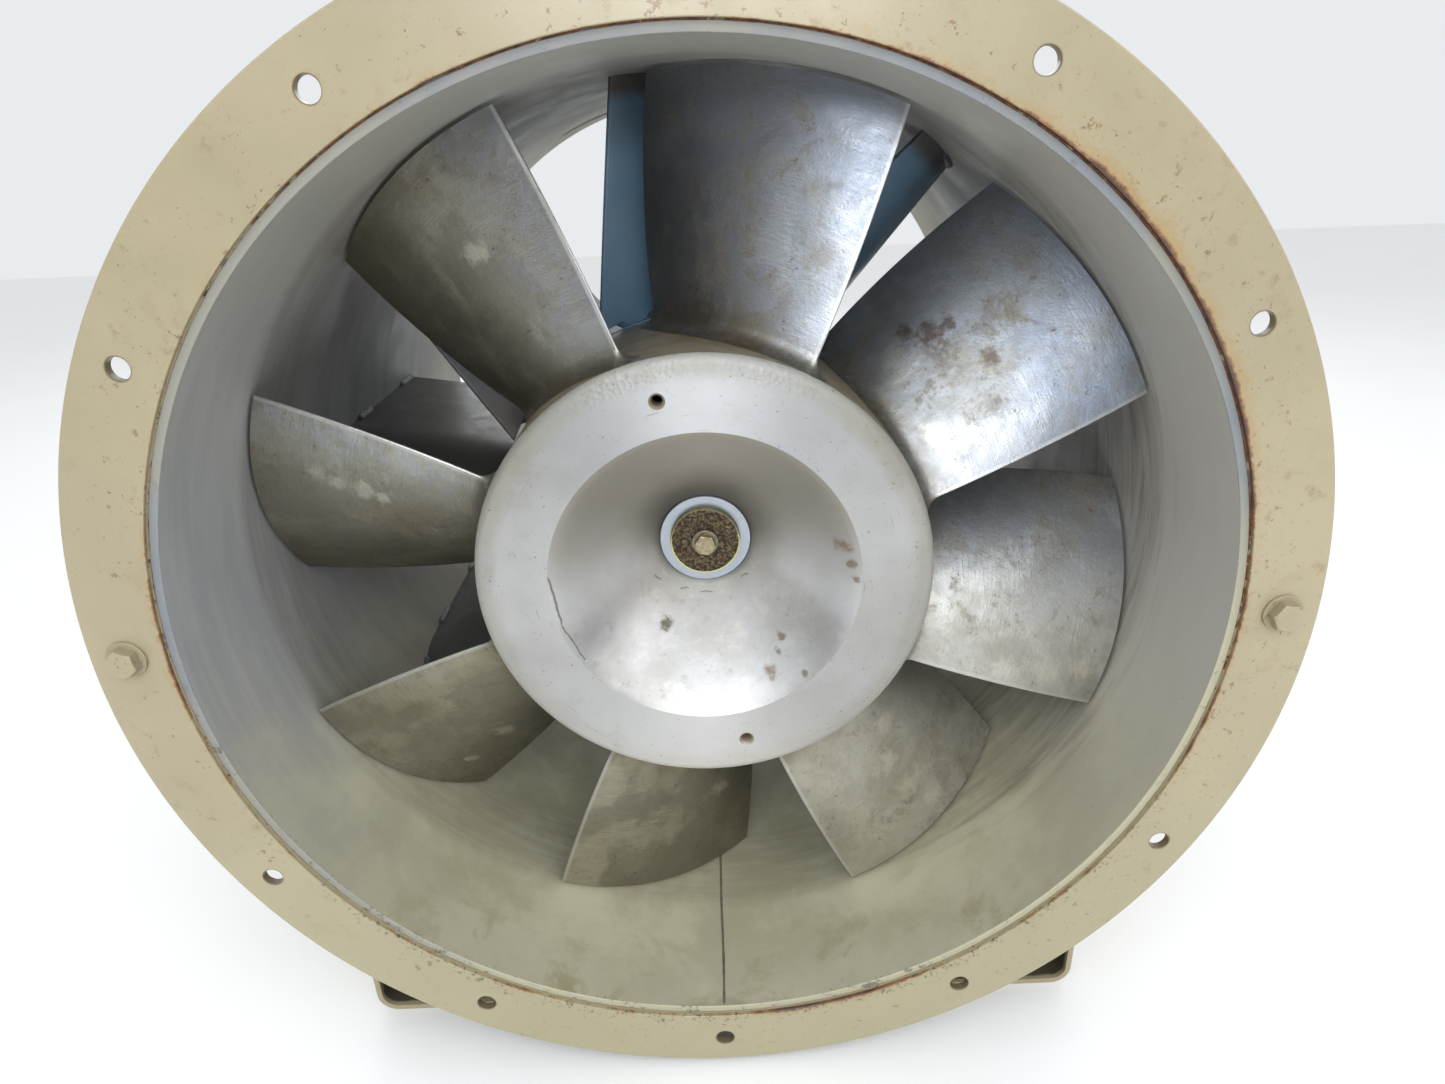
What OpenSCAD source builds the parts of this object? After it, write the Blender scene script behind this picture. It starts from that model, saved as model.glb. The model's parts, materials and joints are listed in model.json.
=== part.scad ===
// Ducted axial fan with a one-piece bladed rotor, straightening vanes and a motor in the inner barrel.
// Every piece is a separate solid. Air enters at the inlet flange and leaves at the outlet flange.

/* [Casing] */
// Bore of the rolled casing tube
tube_bore_d = 717; // [700:1:740]
// Wall thickness of the casing tube
tube_wall = 6.4; // [5:0.1:8]
// Length over the two flange faces
casing_len = 790; // [760:1:900]
// Height of the fan axis above the floor
axis_height = 426; // [420:1:500]

/* [Flanges] */
// Outer diameter of each flange
flange_d = 833; // [825:1:860]
// Bolt circle diameter of each flange
flange_pcd = 782; // [776:1:790]
// Number of holes in each flange
flange_holes = 12; // [12:4:24]
// Diameter of the flange and foot holes
bolt_hole_d = 14.3; // [13.5:0.1:16]
// Thickness of both legs of the flange angle
flange_t = 6.5; // [5:0.5:10]
// Length of the flange leg that wraps the tube
flange_leg = 50; // [30:1:60]

/* [Rotor] */
// Number of blades
blade_count = 8; // [5:1:10]
// Diameter over the blade tips
rotor_d = 711; // [690:1:712]
// Outer diameter of the hub
hub_d = 348; // [330:1:352]
// Diameter of the dished recess in the hub face
dish_d = 238; // [200:1:260]
// Depth of the dished recess
dish_depth = 87; // [70:1:95]
// Diameter of the central boss
boss_d = 76.5; // [70:1:84]
// Distance between the two puller holes
puller_pcd = 290; // [270:1:305]

/* [Guide vanes] */
// Number of guide vanes
vane_count = 9; // [7:2:9]
// Thickness of each vane plate
vane_t = 5; // [3:0.5:6]
// Bend radius of each vane's leading part
vane_bend = 150; // [140:1:160]
// How far each vane's leading edge stands to the side at the barrel
vane_side_in = 78; // [70:1:90]
// How far each vane's leading edge stands to the side at the tube
vane_side_out = 50; // [40:1:60]

/* [Saddles] */
// Overall width of each saddle
saddle_w = 644; // [600:1:660]
// Length of each saddle along the fan
saddle_len = 75; // [60:1:90]
// Thickness of the saddle plate
saddle_t = 5; // [4:0.5:6]
// Distance from a flange face to the nearer edge of its saddle
saddle_inset = 70; // [65:1:100]
// Distance between foot holes across the fan
foot_span = 480; // [420:1:560]

/* [Motor] */
// Motor shaft diameter in the rotor
shaft_d = 34.93; // [30:0.01:36]
// Motor frame diameter over the fins
motor_d = 280; // [260:1:290]
// Bolt circle of the motor's mounting face
motor_pcd = 184.15; // [180:0.05:190]
// Register diameter of the motor's mounting face
motor_register_d = 215.9; // [210:0.1:220]

/* [Terminal box] */
// Width of the terminal box along the fan
box_w = 150; // [120:1:180]
// Height of the terminal box
box_h = 130; // [110:1:150]
// Depth of the terminal box
box_depth = 70; // [60:1:90]
// Bore of the cable gland
gland_bore_d = 18; // [12:0.5:22]

/* [Hidden] */

$fn = 96;
fit_gap = 0.3;      // between separate pieces that are welded or bolted together
slide_gap = 0.02;   // radial, between a shaft and the bores that sit on it
through = 1;        // how far a cutting tool runs past the face it cuts
no_hole = 1000;     // larger than the whole fan

tube_bore_r = tube_bore_d / 2;
tube_r = tube_bore_r + tube_wall;
tube_recess = 4;    // tube end behind the flange face
flange_bore_r = tube_r + fit_gap;
hub_r = hub_d / 2;
rotor_r = rotor_d / 2;
hole_step = 360 / flange_holes;

// Stations along the fan, measured from the inlet flange face
hub_face = 78;
hub_wall = 10;
hub_depth = 166;
hub_edge_r = 9;
boss_face = hub_face + dish_depth;
boss_back = 236;
plate_front = 250;
plate_t = 16;
register_depth = 5;
bell_face = plate_front + plate_t - register_depth;
vane_front = 236;
vane_back = 560;
barrel_front = plate_front;
barrel_back = 600;
barrel_t = 5;
barrel_r = hub_r;
motor_bolt_r = 6.35;

// Colours
cream = [0.80, 0.76, 0.66];
casing_grey = [0.48, 0.50, 0.53];
vane_blue = [0.24, 0.31, 0.39];
cast_grey = [0.60, 0.60, 0.59];
motor_grey = [0.33, 0.36, 0.38];
bright_steel = [0.70, 0.70, 0.70];
dark_steel = [0.30, 0.30, 0.31];
zinc_yellow = [0.70, 0.66, 0.42];
copper = [0.62, 0.36, 0.20];
gasket_black = [0.10, 0.10, 0.10];

// ---------- Placing ----------

// Fan frame: the axis is local Z, which runs from the inlet face downstream
module on_axis() {
    translate([0, -casing_len / 2, axis_height])
        rotate([-90, 0, 0])
            children();
}

// Turns a feature on local +X to a clock angle, counted anticlockwise seen from the inlet
module at_clock(angle) {
    rotate([0, 0, -angle])
        children();
}

// The same feature seen from the outlet end
module from_outlet() {
    mirror([0, 1, 0])
        children();
}

module ring(outer_r, inner_r, from, to) {
    difference() {
        translate([0, 0, from])
            cylinder(r = outer_r, h = to - from);
        translate([0, 0, from - through])
            cylinder(r = inner_r, h = to - from + 2 * through);
    }
}

module disc(r, from, to) {
    translate([0, 0, from])
        cylinder(r = r, h = to - from);
}

module hex_prism(across_flats, from, to) {
    translate([0, 0, from])
        cylinder(r = across_flats / sqrt(3), h = to - from, $fn = 6);
}

// ---------- Casing ----------

conduit_r = 13.35;
conduit_at = 476;

module conduit_hole(from_r, to_r, gap) {
    translate([from_r, 0, conduit_at])
        rotate([0, 90, 0])
            cylinder(r = conduit_r + gap, h = to_r - from_r);
}

module casing_tube() {
    color(casing_grey)
        on_axis()
            difference() {
                ring(tube_r, tube_bore_r, tube_recess, casing_len - tube_recess);
                conduit_hole(tube_bore_r - 2 * tube_wall, tube_r + tube_wall, fit_gap);
            }
}

// Rolled angle: one leg is the bolting face, the other wraps the tube
module flange_ring() {
    difference() {
        rotate_extrude()
            polygon([
                [flange_bore_r, 0],
                [flange_d / 2, 0],
                [flange_d / 2, flange_t],
                [flange_bore_r + flange_t, flange_t],
                [flange_bore_r + flange_t, flange_leg],
                [flange_bore_r, flange_leg],
            ]);
        for (i = [0 : flange_holes - 1])
            at_clock(i * hole_step)
                translate([flange_pcd / 2, 0, -through])
                    cylinder(d = bolt_hole_d, h = flange_t + 2 * through);
    }
}

module inlet_flange() {
    color(cream)
        on_axis()
            flange_ring();
}

module outlet_flange() {
    color(cream)
        from_outlet()
            on_axis()
                flange_ring();
}

module inner_barrel() {
    color(vane_blue)
        on_axis()
            difference() {
                ring(barrel_r, barrel_r - barrel_t, barrel_front, barrel_back);
                conduit_hole(barrel_r - 4 * barrel_t, barrel_r + 2 * barrel_t, fit_gap);
            }
}

module four_times(pcd) {
    for (i = [0 : 3])
        at_clock(45 + 90 * i)
            translate([pcd / 2, 0, 0])
                children();
}

// Bulkhead that carries the motor by its face
module motor_plate() {
    color(vane_blue)
        on_axis()
            difference() {
                ring(barrel_r - barrel_t - fit_gap, 34, plate_front, plate_front + plate_t);
                disc(motor_register_d / 2 + 0.1, bell_face, bell_face + no_hole);
                four_times(motor_pcd)
                    disc(motor_bolt_r + 0.5, plate_front - through, plate_front + plate_t + through);
            }
}

// ---------- Guide vanes ----------

vane_first = 11;

// Length of plate, along the air stream, that bends to stand this far to the side
function bend_run(side) = vane_bend * sin(acos(1 - side / vane_bend));
bend_in = vane_front + bend_run(vane_side_in);
bend_out = vane_front + bend_run(vane_side_out);
vane_span = tube_bore_r - barrel_r;
bend_lean = atan((bend_in - bend_out) / vane_span);

// Bent plate drawn flat: X is across the air stream, Y is downstream, Z is outwards
module vane_sheet() {
    reach = 4 * vane_bend;
    translate([0, bend_in + barrel_r * tan(bend_lean), 0])
        rotate([bend_lean, 0, 0])
            linear_extrude(height = 2 * tube_r) {
                translate([-vane_t / 2, 0])
                    square([vane_t, reach]);
                translate([-vane_bend, 0])
                    intersection() {
                        difference() {
                            circle(r = vane_bend + vane_t / 2);
                            circle(r = vane_bend - vane_t / 2);
                        }
                        polygon([[0, 0], [reach, 0], [0, -reach]]);
                    }
            }
}

// Space for the vanes; ahead of the barrel it keeps clear of the turning hub
module vane_room() {
    hub_gap = 6;
    ring(tube_bore_r - fit_gap, barrel_r + fit_gap, barrel_front + 1, vane_back);
    ring(tube_bore_r - fit_gap, barrel_r + hub_gap, vane_front, barrel_front + 2);
}

module guide_vane(number) {
    color(vane_blue)
        on_axis()
            intersection() {
                vane_room();
                at_clock(vane_first + (number - 1) * 360 / vane_count)
                    rotate([90, 0, 90])
                        vane_sheet();
            }
}

// ---------- Saddles ----------

saddle_bend_r = 18;
saddle_top = 250;

// Upright channel outline: flat bottom, rounded lower corners, open top
module saddle_outline(width, corner_r) {
    translate([-width / 2, corner_r])
        square([width, saddle_top]);
    translate([-width / 2 + corner_r, 0])
        square([width - 2 * corner_r, saddle_top]);
    for (side = [-1, 1])
        translate([side * (width / 2 - corner_r), corner_r])
            circle(r = corner_r);
}

module casing_outline() {
    translate([0, axis_height])
        circle(r = tube_r + fit_gap);
}

module across_fan(from, length) {
    translate([0, -casing_len / 2 + from + length, 0])
        rotate([90, 0, 0])
            linear_extrude(height = length)
                children();
}

module saddle_rim() {
    difference() {
        across_fan(saddle_inset, saddle_len)
            difference() {
                saddle_outline(saddle_w, saddle_bend_r);
                translate([0, saddle_t])
                    saddle_outline(saddle_w - 2 * saddle_t, saddle_bend_r - saddle_t);
                casing_outline();
            }
        for (side = [-1, 1])
            translate([side * foot_span / 2, -casing_len / 2 + saddle_inset + saddle_len / 2, -through])
                cylinder(d = bolt_hole_d, h = saddle_t + 2 * through);
    }
}

module saddle_web() {
    across_fan(saddle_inset + saddle_len - saddle_t, saddle_t)
        difference() {
            translate([0, saddle_t + fit_gap])
                saddle_outline(saddle_w - 2 * (saddle_t + fit_gap), saddle_bend_r - saddle_t);
            casing_outline();
        }
}

module inlet_saddle_rim() {
    color(cream)
        saddle_rim();
}

module inlet_saddle_web() {
    color(cream)
        saddle_web();
}

module outlet_saddle_rim() {
    color(cream)
        from_outlet()
            saddle_rim();
}

module outlet_saddle_web() {
    color(cream)
        from_outlet()
            saddle_web();
}

// ---------- Bolts left in the inlet flange ----------

bolt_d = 12.7;
bolt_flats = 19;
bolt_head_h = 8;
bolt_len = 34;
washer_r = 13.5;
washer_t = 2.4;
nut_h = 11;

module at_flange_bolts() {
    for (side = [0, 180])
        at_clock(side)
            translate([flange_pcd / 2, 0, 0])
                children();
}

module flange_bolts() {
    color(cream)
        on_axis()
            at_flange_bolts() {
                rotate([0, 0, 12])
                    hex_prism(bolt_flats, -washer_t - bolt_head_h, -washer_t);
                disc(bolt_d / 2, -washer_t - bolt_head_h / 2, bolt_len);
            }
}

module flange_washers() {
    color(cream)
        on_axis()
            at_flange_bolts()
                ring(washer_r, bolt_d / 2 + fit_gap, -washer_t, 0);
}

module flange_nuts() {
    color(cream)
        on_axis()
            at_flange_bolts()
                difference() {
                    hex_prism(bolt_flats, flange_t, flange_t + nut_h);
                    disc(bolt_d / 2 + slide_gap, 0, no_hole);
                }
}

// ---------- Rotor ----------

blade_phase = 61.9;      // clock angle of one blade's leading edge at the hub
root_r = hub_r - hub_wall / 2;
span_steps = 5;
chord_steps = 9;

// Leading and trailing edges at the hub and at the tip: [clock angle, distance from the inlet face]
lead_root = [0, 97];
lead_tip = [3.4, 118];
trail_root = [39.4, 221];
trail_tip = [32.5, 202.5];
camber_root = 0.09;
camber_tip = 0.08;
blade_t_root = 9;
blade_t_tip = 6;
blade_edge_t = 2.4;

function mix(a, b, t) = a + (b - a) * t;
function on_drum(r, angle, along) = [r * cos(angle), -r * sin(angle), along];

// Half thickness along the chord, from the leading edge (0) to the trailing edge (1)
function half_thick(t, s) =
    (blade_edge_t + (mix(blade_t_root, blade_t_tip, t) - blade_edge_t) * 4 * s * (1 - s)) / 2;

// A point of the blade's skin: t runs along the span, s along the chord, side is -1 or 1
function blade_point(t, s, side) =
    let (
        r = mix(root_r, rotor_r, t),
        lead = mix(lead_root, lead_tip, t),
        trail = mix(trail_root, trail_tip, t),
        run = (trail[0] - lead[0]) * r * PI / 180,
        rise = trail[1] - lead[1],
        chord = norm([run, rise]),
        off = mix(camber_root, camber_tip, t) * chord * 4 * s * (1 - s) + side * half_thick(t, s),
        across = run * s + off * rise / chord,
        along = lead[1] + rise * s - off * run / chord
    )
    on_drum(r, blade_phase + lead[0] + across * 180 / (PI * r), along);

module blade() {
    row = 2 * chord_steps;
    points = [
        for (i = [0 : span_steps - 1], j = [0 : row - 1])
            let (
                t = i / (span_steps - 1),
                upper = j < chord_steps,
                k = upper ? j : row - 1 - j
            )
            blade_point(t, k / (chord_steps - 1), upper ? 1 : -1)
    ];
    skin = [
        for (i = [0 : span_steps - 2], j = [0 : row - 1], half = [0, 1])
            let (
                a = i * row + j,
                b = i * row + (j + 1) % row
            )
            half == 0 ? [a, b, b + row] : [a, b + row, a + row]
    ];
    caps = [
        for (end = [0, 1], j = [0 : chord_steps - 2], half = [0, 1])
            let (
                base = end * (span_steps - 1) * row,
                a = base + j,
                b = base + j + 1,
                c = base + row - 2 - j,
                d = base + row - 1 - j,
                near = half == 0 ? [a, c, b] : [a, d, c]
            )
            end == 0 ? near : [near[0], near[2], near[1]]
    ];
    polyhedron(points = points, faces = concat(skin, caps));
}

dish_steps = 10;
dish_curve = 1.2;
function dish_z(t) = hub_face + dish_depth * pow(t, dish_curve);

// Half section of the hub casting: dished face, central boss and open back
module hub_section() {
    wall = 9;
    fillet_steps = 6;
    dish_r = dish_d / 2;
    boss_r = boss_d / 2;
    polygon(concat(
        [[shaft_d / 2 + slide_gap, boss_face], [boss_r, boss_face]],
        [for (i = [dish_steps : -1 : 0]) [mix(dish_r, boss_r + 2, i / dish_steps), dish_z(i / dish_steps)]],
        [
            for (i = [0 : fillet_steps])
                let (a = 90 * i / fillet_steps)
                [hub_r - hub_edge_r + hub_edge_r * sin(a), hub_face + hub_edge_r - hub_edge_r * cos(a)]
        ],
        [[hub_r, hub_face + hub_depth], [hub_r - hub_wall, hub_face + hub_depth]],
        [[hub_r - hub_wall, hub_face + 24], [hub_r - hub_wall - 8, hub_face + 18], [dish_r + 4, hub_face + 18]],
        [for (i = [1 : dish_steps]) [mix(dish_r, boss_r + 6, i / dish_steps), dish_z(i / dish_steps) + wall + 6]],
        [[boss_r, boss_back], [shaft_d / 2 + slide_gap, boss_back]]
    ));
}

key_w = 9.5;
key_h = 9.5;
key_from = 166;
key_len = 60;
puller_first = 101;
puller_hole_r = 4.8;

module key_block(gap) {
    translate([shaft_d / 2 - key_h / 2 - gap, -key_w / 2 - gap, key_from - gap])
        cube([key_h + 2 * gap, key_w + 2 * gap, key_len + 2 * gap]);
}

module impeller() {
    color(cast_grey)
        on_axis()
            difference() {
                union() {
                    rotate_extrude()
                        hub_section();
                    for (i = [0 : blade_count - 1])
                        at_clock(i * 360 / blade_count)
                            blade();
                }
                for (i = [0, 1])
                    at_clock(puller_first + 180 * i)
                        translate([puller_pcd / 2, 0, 0])
                            disc(puller_hole_r, hub_face - through, hub_face + 40);
                at_clock(90)
                    translate([shaft_d / 2 - key_h / 2, -key_w / 2 - slide_gap, boss_face - through])
                        cube([key_h + slide_gap, key_w + 2 * slide_gap, boss_back - boss_face + 2 * through]);
            }
}

module impeller_key() {
    color(dark_steel)
        on_axis()
            at_clock(90)
                key_block(0);
}

// ---------- Shaft and what is fixed on it ----------

shaft_nose = boss_face + 4;
front_bearing_at = 272;
rear_bearing_at = 500;
core_from = 320;
core_to = 460;
core_r = 74.8;
air_gap = 0.7;
tap_r = 4.9;
end_bolt_d = 11.1;
end_bolt_flats = 15.9;
end_bolt_head_h = 7.1;
end_bolt_len = 32;
end_washer_r = 29.3;
end_washer_t = 6;
lock_washer_r = 11;
lock_washer_t = 3;

module motor_shaft() {
    color(bright_steel)
        on_axis()
            difference() {
                union() {
                    disc(shaft_d / 2, shaft_nose, 262);
                    disc(22.5, 262, 300);
                    disc(29.5, 300, 480);
                    disc(20, 480, 522);
                }
                disc(tap_r, shaft_nose - through, shaft_nose + end_bolt_len);
                at_clock(90)
                    key_block(slide_gap);
            }
}

module rotor_core() {
    color(dark_steel)
        on_axis()
            ring(core_r, 29.5 + slide_gap, core_from, core_to);
}

module shaft_end_washer() {
    color(zinc_yellow)
        on_axis()
            ring(end_washer_r, end_bolt_d / 2 + fit_gap, boss_face - end_washer_t, boss_face);
}

module shaft_lock_washer() {
    color(bright_steel)
        on_axis()
            difference() {
                ring(
                    lock_washer_r, end_bolt_d / 2 + fit_gap,
                    boss_face - end_washer_t - lock_washer_t, boss_face - end_washer_t
                );
                at_clock(70)
                    translate([0, -1, 0])
                        cube([no_hole, 2, no_hole]);
            }
}

module shaft_end_bolt() {
    head_back = boss_face - end_washer_t - lock_washer_t;
    color(zinc_yellow)
        on_axis() {
            hex_prism(end_bolt_flats, head_back - end_bolt_head_h, head_back);
            disc(end_bolt_d / 2, head_back, shaft_nose);
            disc(tap_r - slide_gap, shaft_nose, shaft_nose + end_bolt_len - 4);
        }
}

// ---------- Bearings ----------

ball_count = 9;

module bearing_inner(bore_r, outer_r, width, at) {
    groove_r = (outer_r - bore_r) * 0.3;
    mid_r = (outer_r + bore_r) / 2;
    color(bright_steel)
        on_axis()
            difference() {
                ring(mid_r - groove_r * 0.5, bore_r + slide_gap, at, at + width);
                translate([0, 0, at + width / 2])
                    rotate_extrude()
                        translate([mid_r, 0])
                            circle(r = groove_r + fit_gap);
            }
}

module bearing_outer(bore_r, outer_r, width, at) {
    groove_r = (outer_r - bore_r) * 0.3;
    mid_r = (outer_r + bore_r) / 2;
    color(bright_steel)
        on_axis()
            difference() {
                ring(outer_r, mid_r + groove_r * 0.5, at, at + width);
                translate([0, 0, at + width / 2])
                    rotate_extrude()
                        translate([mid_r, 0])
                            circle(r = groove_r + fit_gap);
            }
}

module bearing_balls(bore_r, outer_r, width, at) {
    mid_r = (outer_r + bore_r) / 2;
    color(bright_steel)
        on_axis()
            for (i = [0 : ball_count - 1])
                at_clock(i * 360 / ball_count)
                    translate([mid_r, 0, at + width / 2])
                        sphere(r = (outer_r - bore_r) * 0.3);
}

module front_bearing_inner() { bearing_inner(22.5, 50, 25, front_bearing_at); }
module front_bearing_balls() { bearing_balls(22.5, 50, 25, front_bearing_at); }
module front_bearing_outer() { bearing_outer(22.5, 50, 25, front_bearing_at); }
module rear_bearing_inner() { bearing_inner(20, 40, 18, rear_bearing_at); }
module rear_bearing_balls() { bearing_balls(20, 40, 18, rear_bearing_at); }
module rear_bearing_outer() { bearing_outer(20, 40, 18, rear_bearing_at); }

// ---------- Motor ----------

frame_r = 131;
frame_bore_r = 118;
frame_from = 300;
frame_to = 494;
fin_count = 28;
fin_t = 4;
bell_r = 131;
screw_pcd = 249;
screw_r = 3.5;

front_screw_seat = bell_face + 15;
rear_screw_seat = rear_bearing_at + 2;
screw_head_h = 5.5;
screw_flats = 10;

module bell_screw_holes(from, to) {
    four_times(screw_pcd)
        disc(screw_r + slide_gap, from, to);
}

// Flat seats for the screw heads
module bell_screw_seats(from, to) {
    four_times(screw_pcd)
        disc(screw_flats * 0.65, from, to);
}

module motor_frame() {
    color(motor_grey)
        on_axis()
            difference() {
                union() {
                    ring(frame_r, frame_bore_r, frame_from, frame_to);
                    for (i = [0 : fin_count - 1])
                        at_clock((i + 0.5) * 360 / fin_count)
                            translate([frame_r - 2, -fin_t / 2, frame_from + 8])
                                cube([motor_d / 2 - frame_r + 2, fin_t, frame_to - frame_from - 16]);
                }
                conduit_hole(frame_bore_r - 10, no_hole / 4, fit_gap);
                bell_screw_holes(frame_from - through, frame_from + 20);
                bell_screw_holes(frame_to - 20, frame_to + through);
            }
}

// Register face, bearing housing and rim of the drive-end bell
module front_end_bell() {
    register_r = motor_register_d / 2;
    color(motor_grey)
        on_axis()
            difference() {
                rotate_extrude()
                    polygon([
                        [26, bell_face],
                        [register_r, bell_face],
                        [register_r, bell_face + 9],
                        [bell_r, bell_face + 15],
                        [bell_r, frame_from - fit_gap],
                        [110, frame_from - fit_gap],
                        [104, bell_face + 24],
                        [62, bell_face + 24],
                        [60, front_bearing_at + 27],
                        [50 + slide_gap, front_bearing_at + 27],
                        [50 + slide_gap, front_bearing_at - 1],
                        [26, front_bearing_at - 1],
                    ]);
                four_times(motor_pcd)
                    disc(motor_bolt_r - 0.7 + slide_gap, bell_face - through, bell_face + 18);
                bell_screw_holes(bell_face, frame_from + through);
                bell_screw_seats(bell_face, front_screw_seat);
            }
}

module rear_end_bell() {
    color(motor_grey)
        on_axis()
            difference() {
                rotate_extrude()
                    polygon([
                        [0, rear_bearing_at + 32],
                        [46, rear_bearing_at + 32],
                        [56, rear_bearing_at + 20],
                        [118, rear_bearing_at + 8],
                        [bell_r, rear_bearing_at + 2],
                        [bell_r, frame_to + fit_gap],
                        [110, frame_to + fit_gap],
                        [104, rear_bearing_at - 1],
                        [52, rear_bearing_at + 6],
                        [48, rear_bearing_at - 2],
                        [40 + slide_gap, rear_bearing_at - 2],
                        [40 + slide_gap, rear_bearing_at + 22.5],
                        [0, rear_bearing_at + 22.5],
                    ]);
                bell_screw_holes(frame_to - through, rear_bearing_at + 20);
                bell_screw_seats(rear_screw_seat, rear_bearing_at + 20);
            }
}

module stator_core() {
    color(dark_steel)
        on_axis()
            ring(frame_bore_r - fit_gap, core_r + air_gap, core_from, core_to);
}

module stator_windings() {
    color(copper)
        on_axis()
            for (from = [core_from - 18, core_to + fit_gap])
                ring(104, 80, from, from + 17);
}

module end_bell_screws() {
    color(dark_steel)
        on_axis()
            four_times(screw_pcd) {
                hex_prism(screw_flats, front_screw_seat - screw_head_h, front_screw_seat);
                disc(screw_r, front_screw_seat, frame_from + 18);
                hex_prism(screw_flats, rear_screw_seat, rear_screw_seat + screw_head_h);
                disc(screw_r, frame_to - 18, rear_screw_seat);
            }
}

module motor_bolts() {
    head_back = plate_front - lock_washer_t;
    color(dark_steel)
        on_axis()
            four_times(motor_pcd) {
                hex_prism(bolt_flats, head_back - bolt_head_h, head_back);
                disc(motor_bolt_r, head_back, bell_face);
                disc(motor_bolt_r - 0.7, bell_face, bell_face + 16);
            }
}

module motor_lock_washers() {
    color(bright_steel)
        on_axis()
            four_times(motor_pcd)
                ring(lock_washer_r, motor_bolt_r + fit_gap, plate_front - lock_washer_t, plate_front);
}

// ---------- Terminal box ----------

box_wall = 2.5;
screw_inset = 8;    // box screws from the box's edges
box_back = 392;     // back of the box, from the fan axis
box_front = box_back + box_depth;
lid_t = 2;
gasket_t = 2.5;
locknut_t = 4;
conduit_bore_r = 10.5;
gland_r = 14;

// Block centred on the conduit, from one distance off the axis to another
module side_block(from_r, to_r, width, height) {
    translate([from_r, -height / 2, conduit_at - width / 2])
        cube([to_r - from_r, height, width]);
}

module conduit_pipe() {
    color(bright_steel)
        on_axis()
            difference() {
                conduit_hole(frame_bore_r, box_back + 16, 0);
                conduit_hole(frame_bore_r - through, box_back + 16 + through, conduit_bore_r - conduit_r);
            }
}

module conduit_locknuts() {
    color(bright_steel)
        on_axis()
            for (from = [box_back - locknut_t - fit_gap, box_back + box_wall + fit_gap])
                difference() {
                    translate([from, 0, conduit_at])
                        rotate([0, 90, 0])
                            cylinder(r = 20, h = locknut_t, $fn = 8);
                    conduit_hole(from - through, from + locknut_t + through, slide_gap);
                }
}

module at_box_screws() {
    for (side = [-1, 1], end = [-1, 1])
        translate([0, side * (box_h / 2 - screw_inset), conduit_at + end * (box_w / 2 - screw_inset)])
            rotate([0, 90, 0])
                children();
}

module terminal_box() {
    color(motor_grey)
        on_axis()
            difference() {
                union() {
                    difference() {
                        side_block(box_back, box_front, box_w, box_h);
                        side_block(
                            box_back + box_wall, box_front + through,
                            box_w - 2 * box_wall, box_h - 2 * box_wall
                        );
                    }
                    at_box_screws()
                        disc(6.5, box_back + box_wall / 2, box_front);
                }
                conduit_hole(box_back - through, box_back + 2 * box_wall, fit_gap);
                at_box_screws()
                    disc(2.6, box_front - 16, box_front + through);
                at_gland()
                    disc(gland_r - 2 + fit_gap, -2 * box_wall, 2 * box_wall);
            }
}

// The gland sits under the box and points down
module at_gland() {
    translate([(box_back + box_front) / 2, box_h / 2, conduit_at])
        rotate([-90, 0, 0])
            children();
}

module cable_gland() {
    color(gasket_black)
        on_axis()
            at_gland()
                difference() {
                    union() {
                        hex_prism(30, fit_gap, 7);
                        disc(gland_r, 7, 24);
                        disc(gland_r - 2, -8, fit_gap);
                    }
                    disc(gland_bore_d / 2, -10, 30);
                }
}

// Hat-shaped bracket welded to the casing
module terminal_box_bracket() {
    color(cream)
        on_axis()
            difference() {
                union() {
                    side_block(box_back - 4, box_back - fit_gap, box_w, 96);
                    for (end = [-1, 1])
                        translate([0, 0, end * (box_w / 2 - 2)])
                            side_block(tube_bore_r, box_back - 4, 4, 96);
                }
                disc(tube_r + fit_gap, 0, casing_len);
                conduit_hole(tube_bore_r, box_back + 10, 10);
            }
}

module terminal_box_gasket() {
    color(gasket_black)
        on_axis()
            difference() {
                side_block(box_front, box_front + gasket_t, box_w, box_h);
                side_block(
                    box_front - through, box_front + gasket_t + through,
                    box_w - 34, box_h - 34
                );
                at_box_screws()
                    disc(3, box_front - through, box_front + gasket_t + through);
            }
}

module terminal_box_lid() {
    lid_from = box_front + gasket_t;
    color(motor_grey)
        on_axis()
            difference() {
                side_block(lid_from, lid_from + lid_t, box_w + 4, box_h + 4);
                at_box_screws()
                    disc(3, lid_from - through, lid_from + lid_t + through);
            }
}

module terminal_box_screws() {
    head_at = box_front + gasket_t + lid_t;
    color(bright_steel)
        on_axis()
            at_box_screws() {
                disc(5, head_at, head_at + 3);
                disc(2.5, box_front - 14, head_at);
            }
}

// ---------- Output ----------

casing_tube();
inlet_flange();
outlet_flange();
inner_barrel();
motor_plate();
for (number = [1 : vane_count])
    guide_vane(number);
inlet_saddle_rim();
inlet_saddle_web();
outlet_saddle_rim();
outlet_saddle_web();
flange_bolts();
flange_washers();
flange_nuts();
impeller();
impeller_key();
motor_shaft();
rotor_core();
shaft_end_washer();
shaft_lock_washer();
shaft_end_bolt();
front_bearing_inner();
front_bearing_balls();
front_bearing_outer();
rear_bearing_inner();
rear_bearing_balls();
rear_bearing_outer();
motor_frame();
front_end_bell();
rear_end_bell();
stator_core();
stator_windings();
end_bell_screws();
motor_bolts();
motor_lock_washers();
conduit_pipe();
conduit_locknuts();
terminal_box();
terminal_box_bracket();
terminal_box_gasket();
terminal_box_lid();
terminal_box_screws();
cable_gland();
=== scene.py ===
"""A ducted axial fan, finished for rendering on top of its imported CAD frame."""
import json
import math
from functools import cached_property

import bmesh
import bpy
from mathutils import Matrix, Vector, noise


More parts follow.
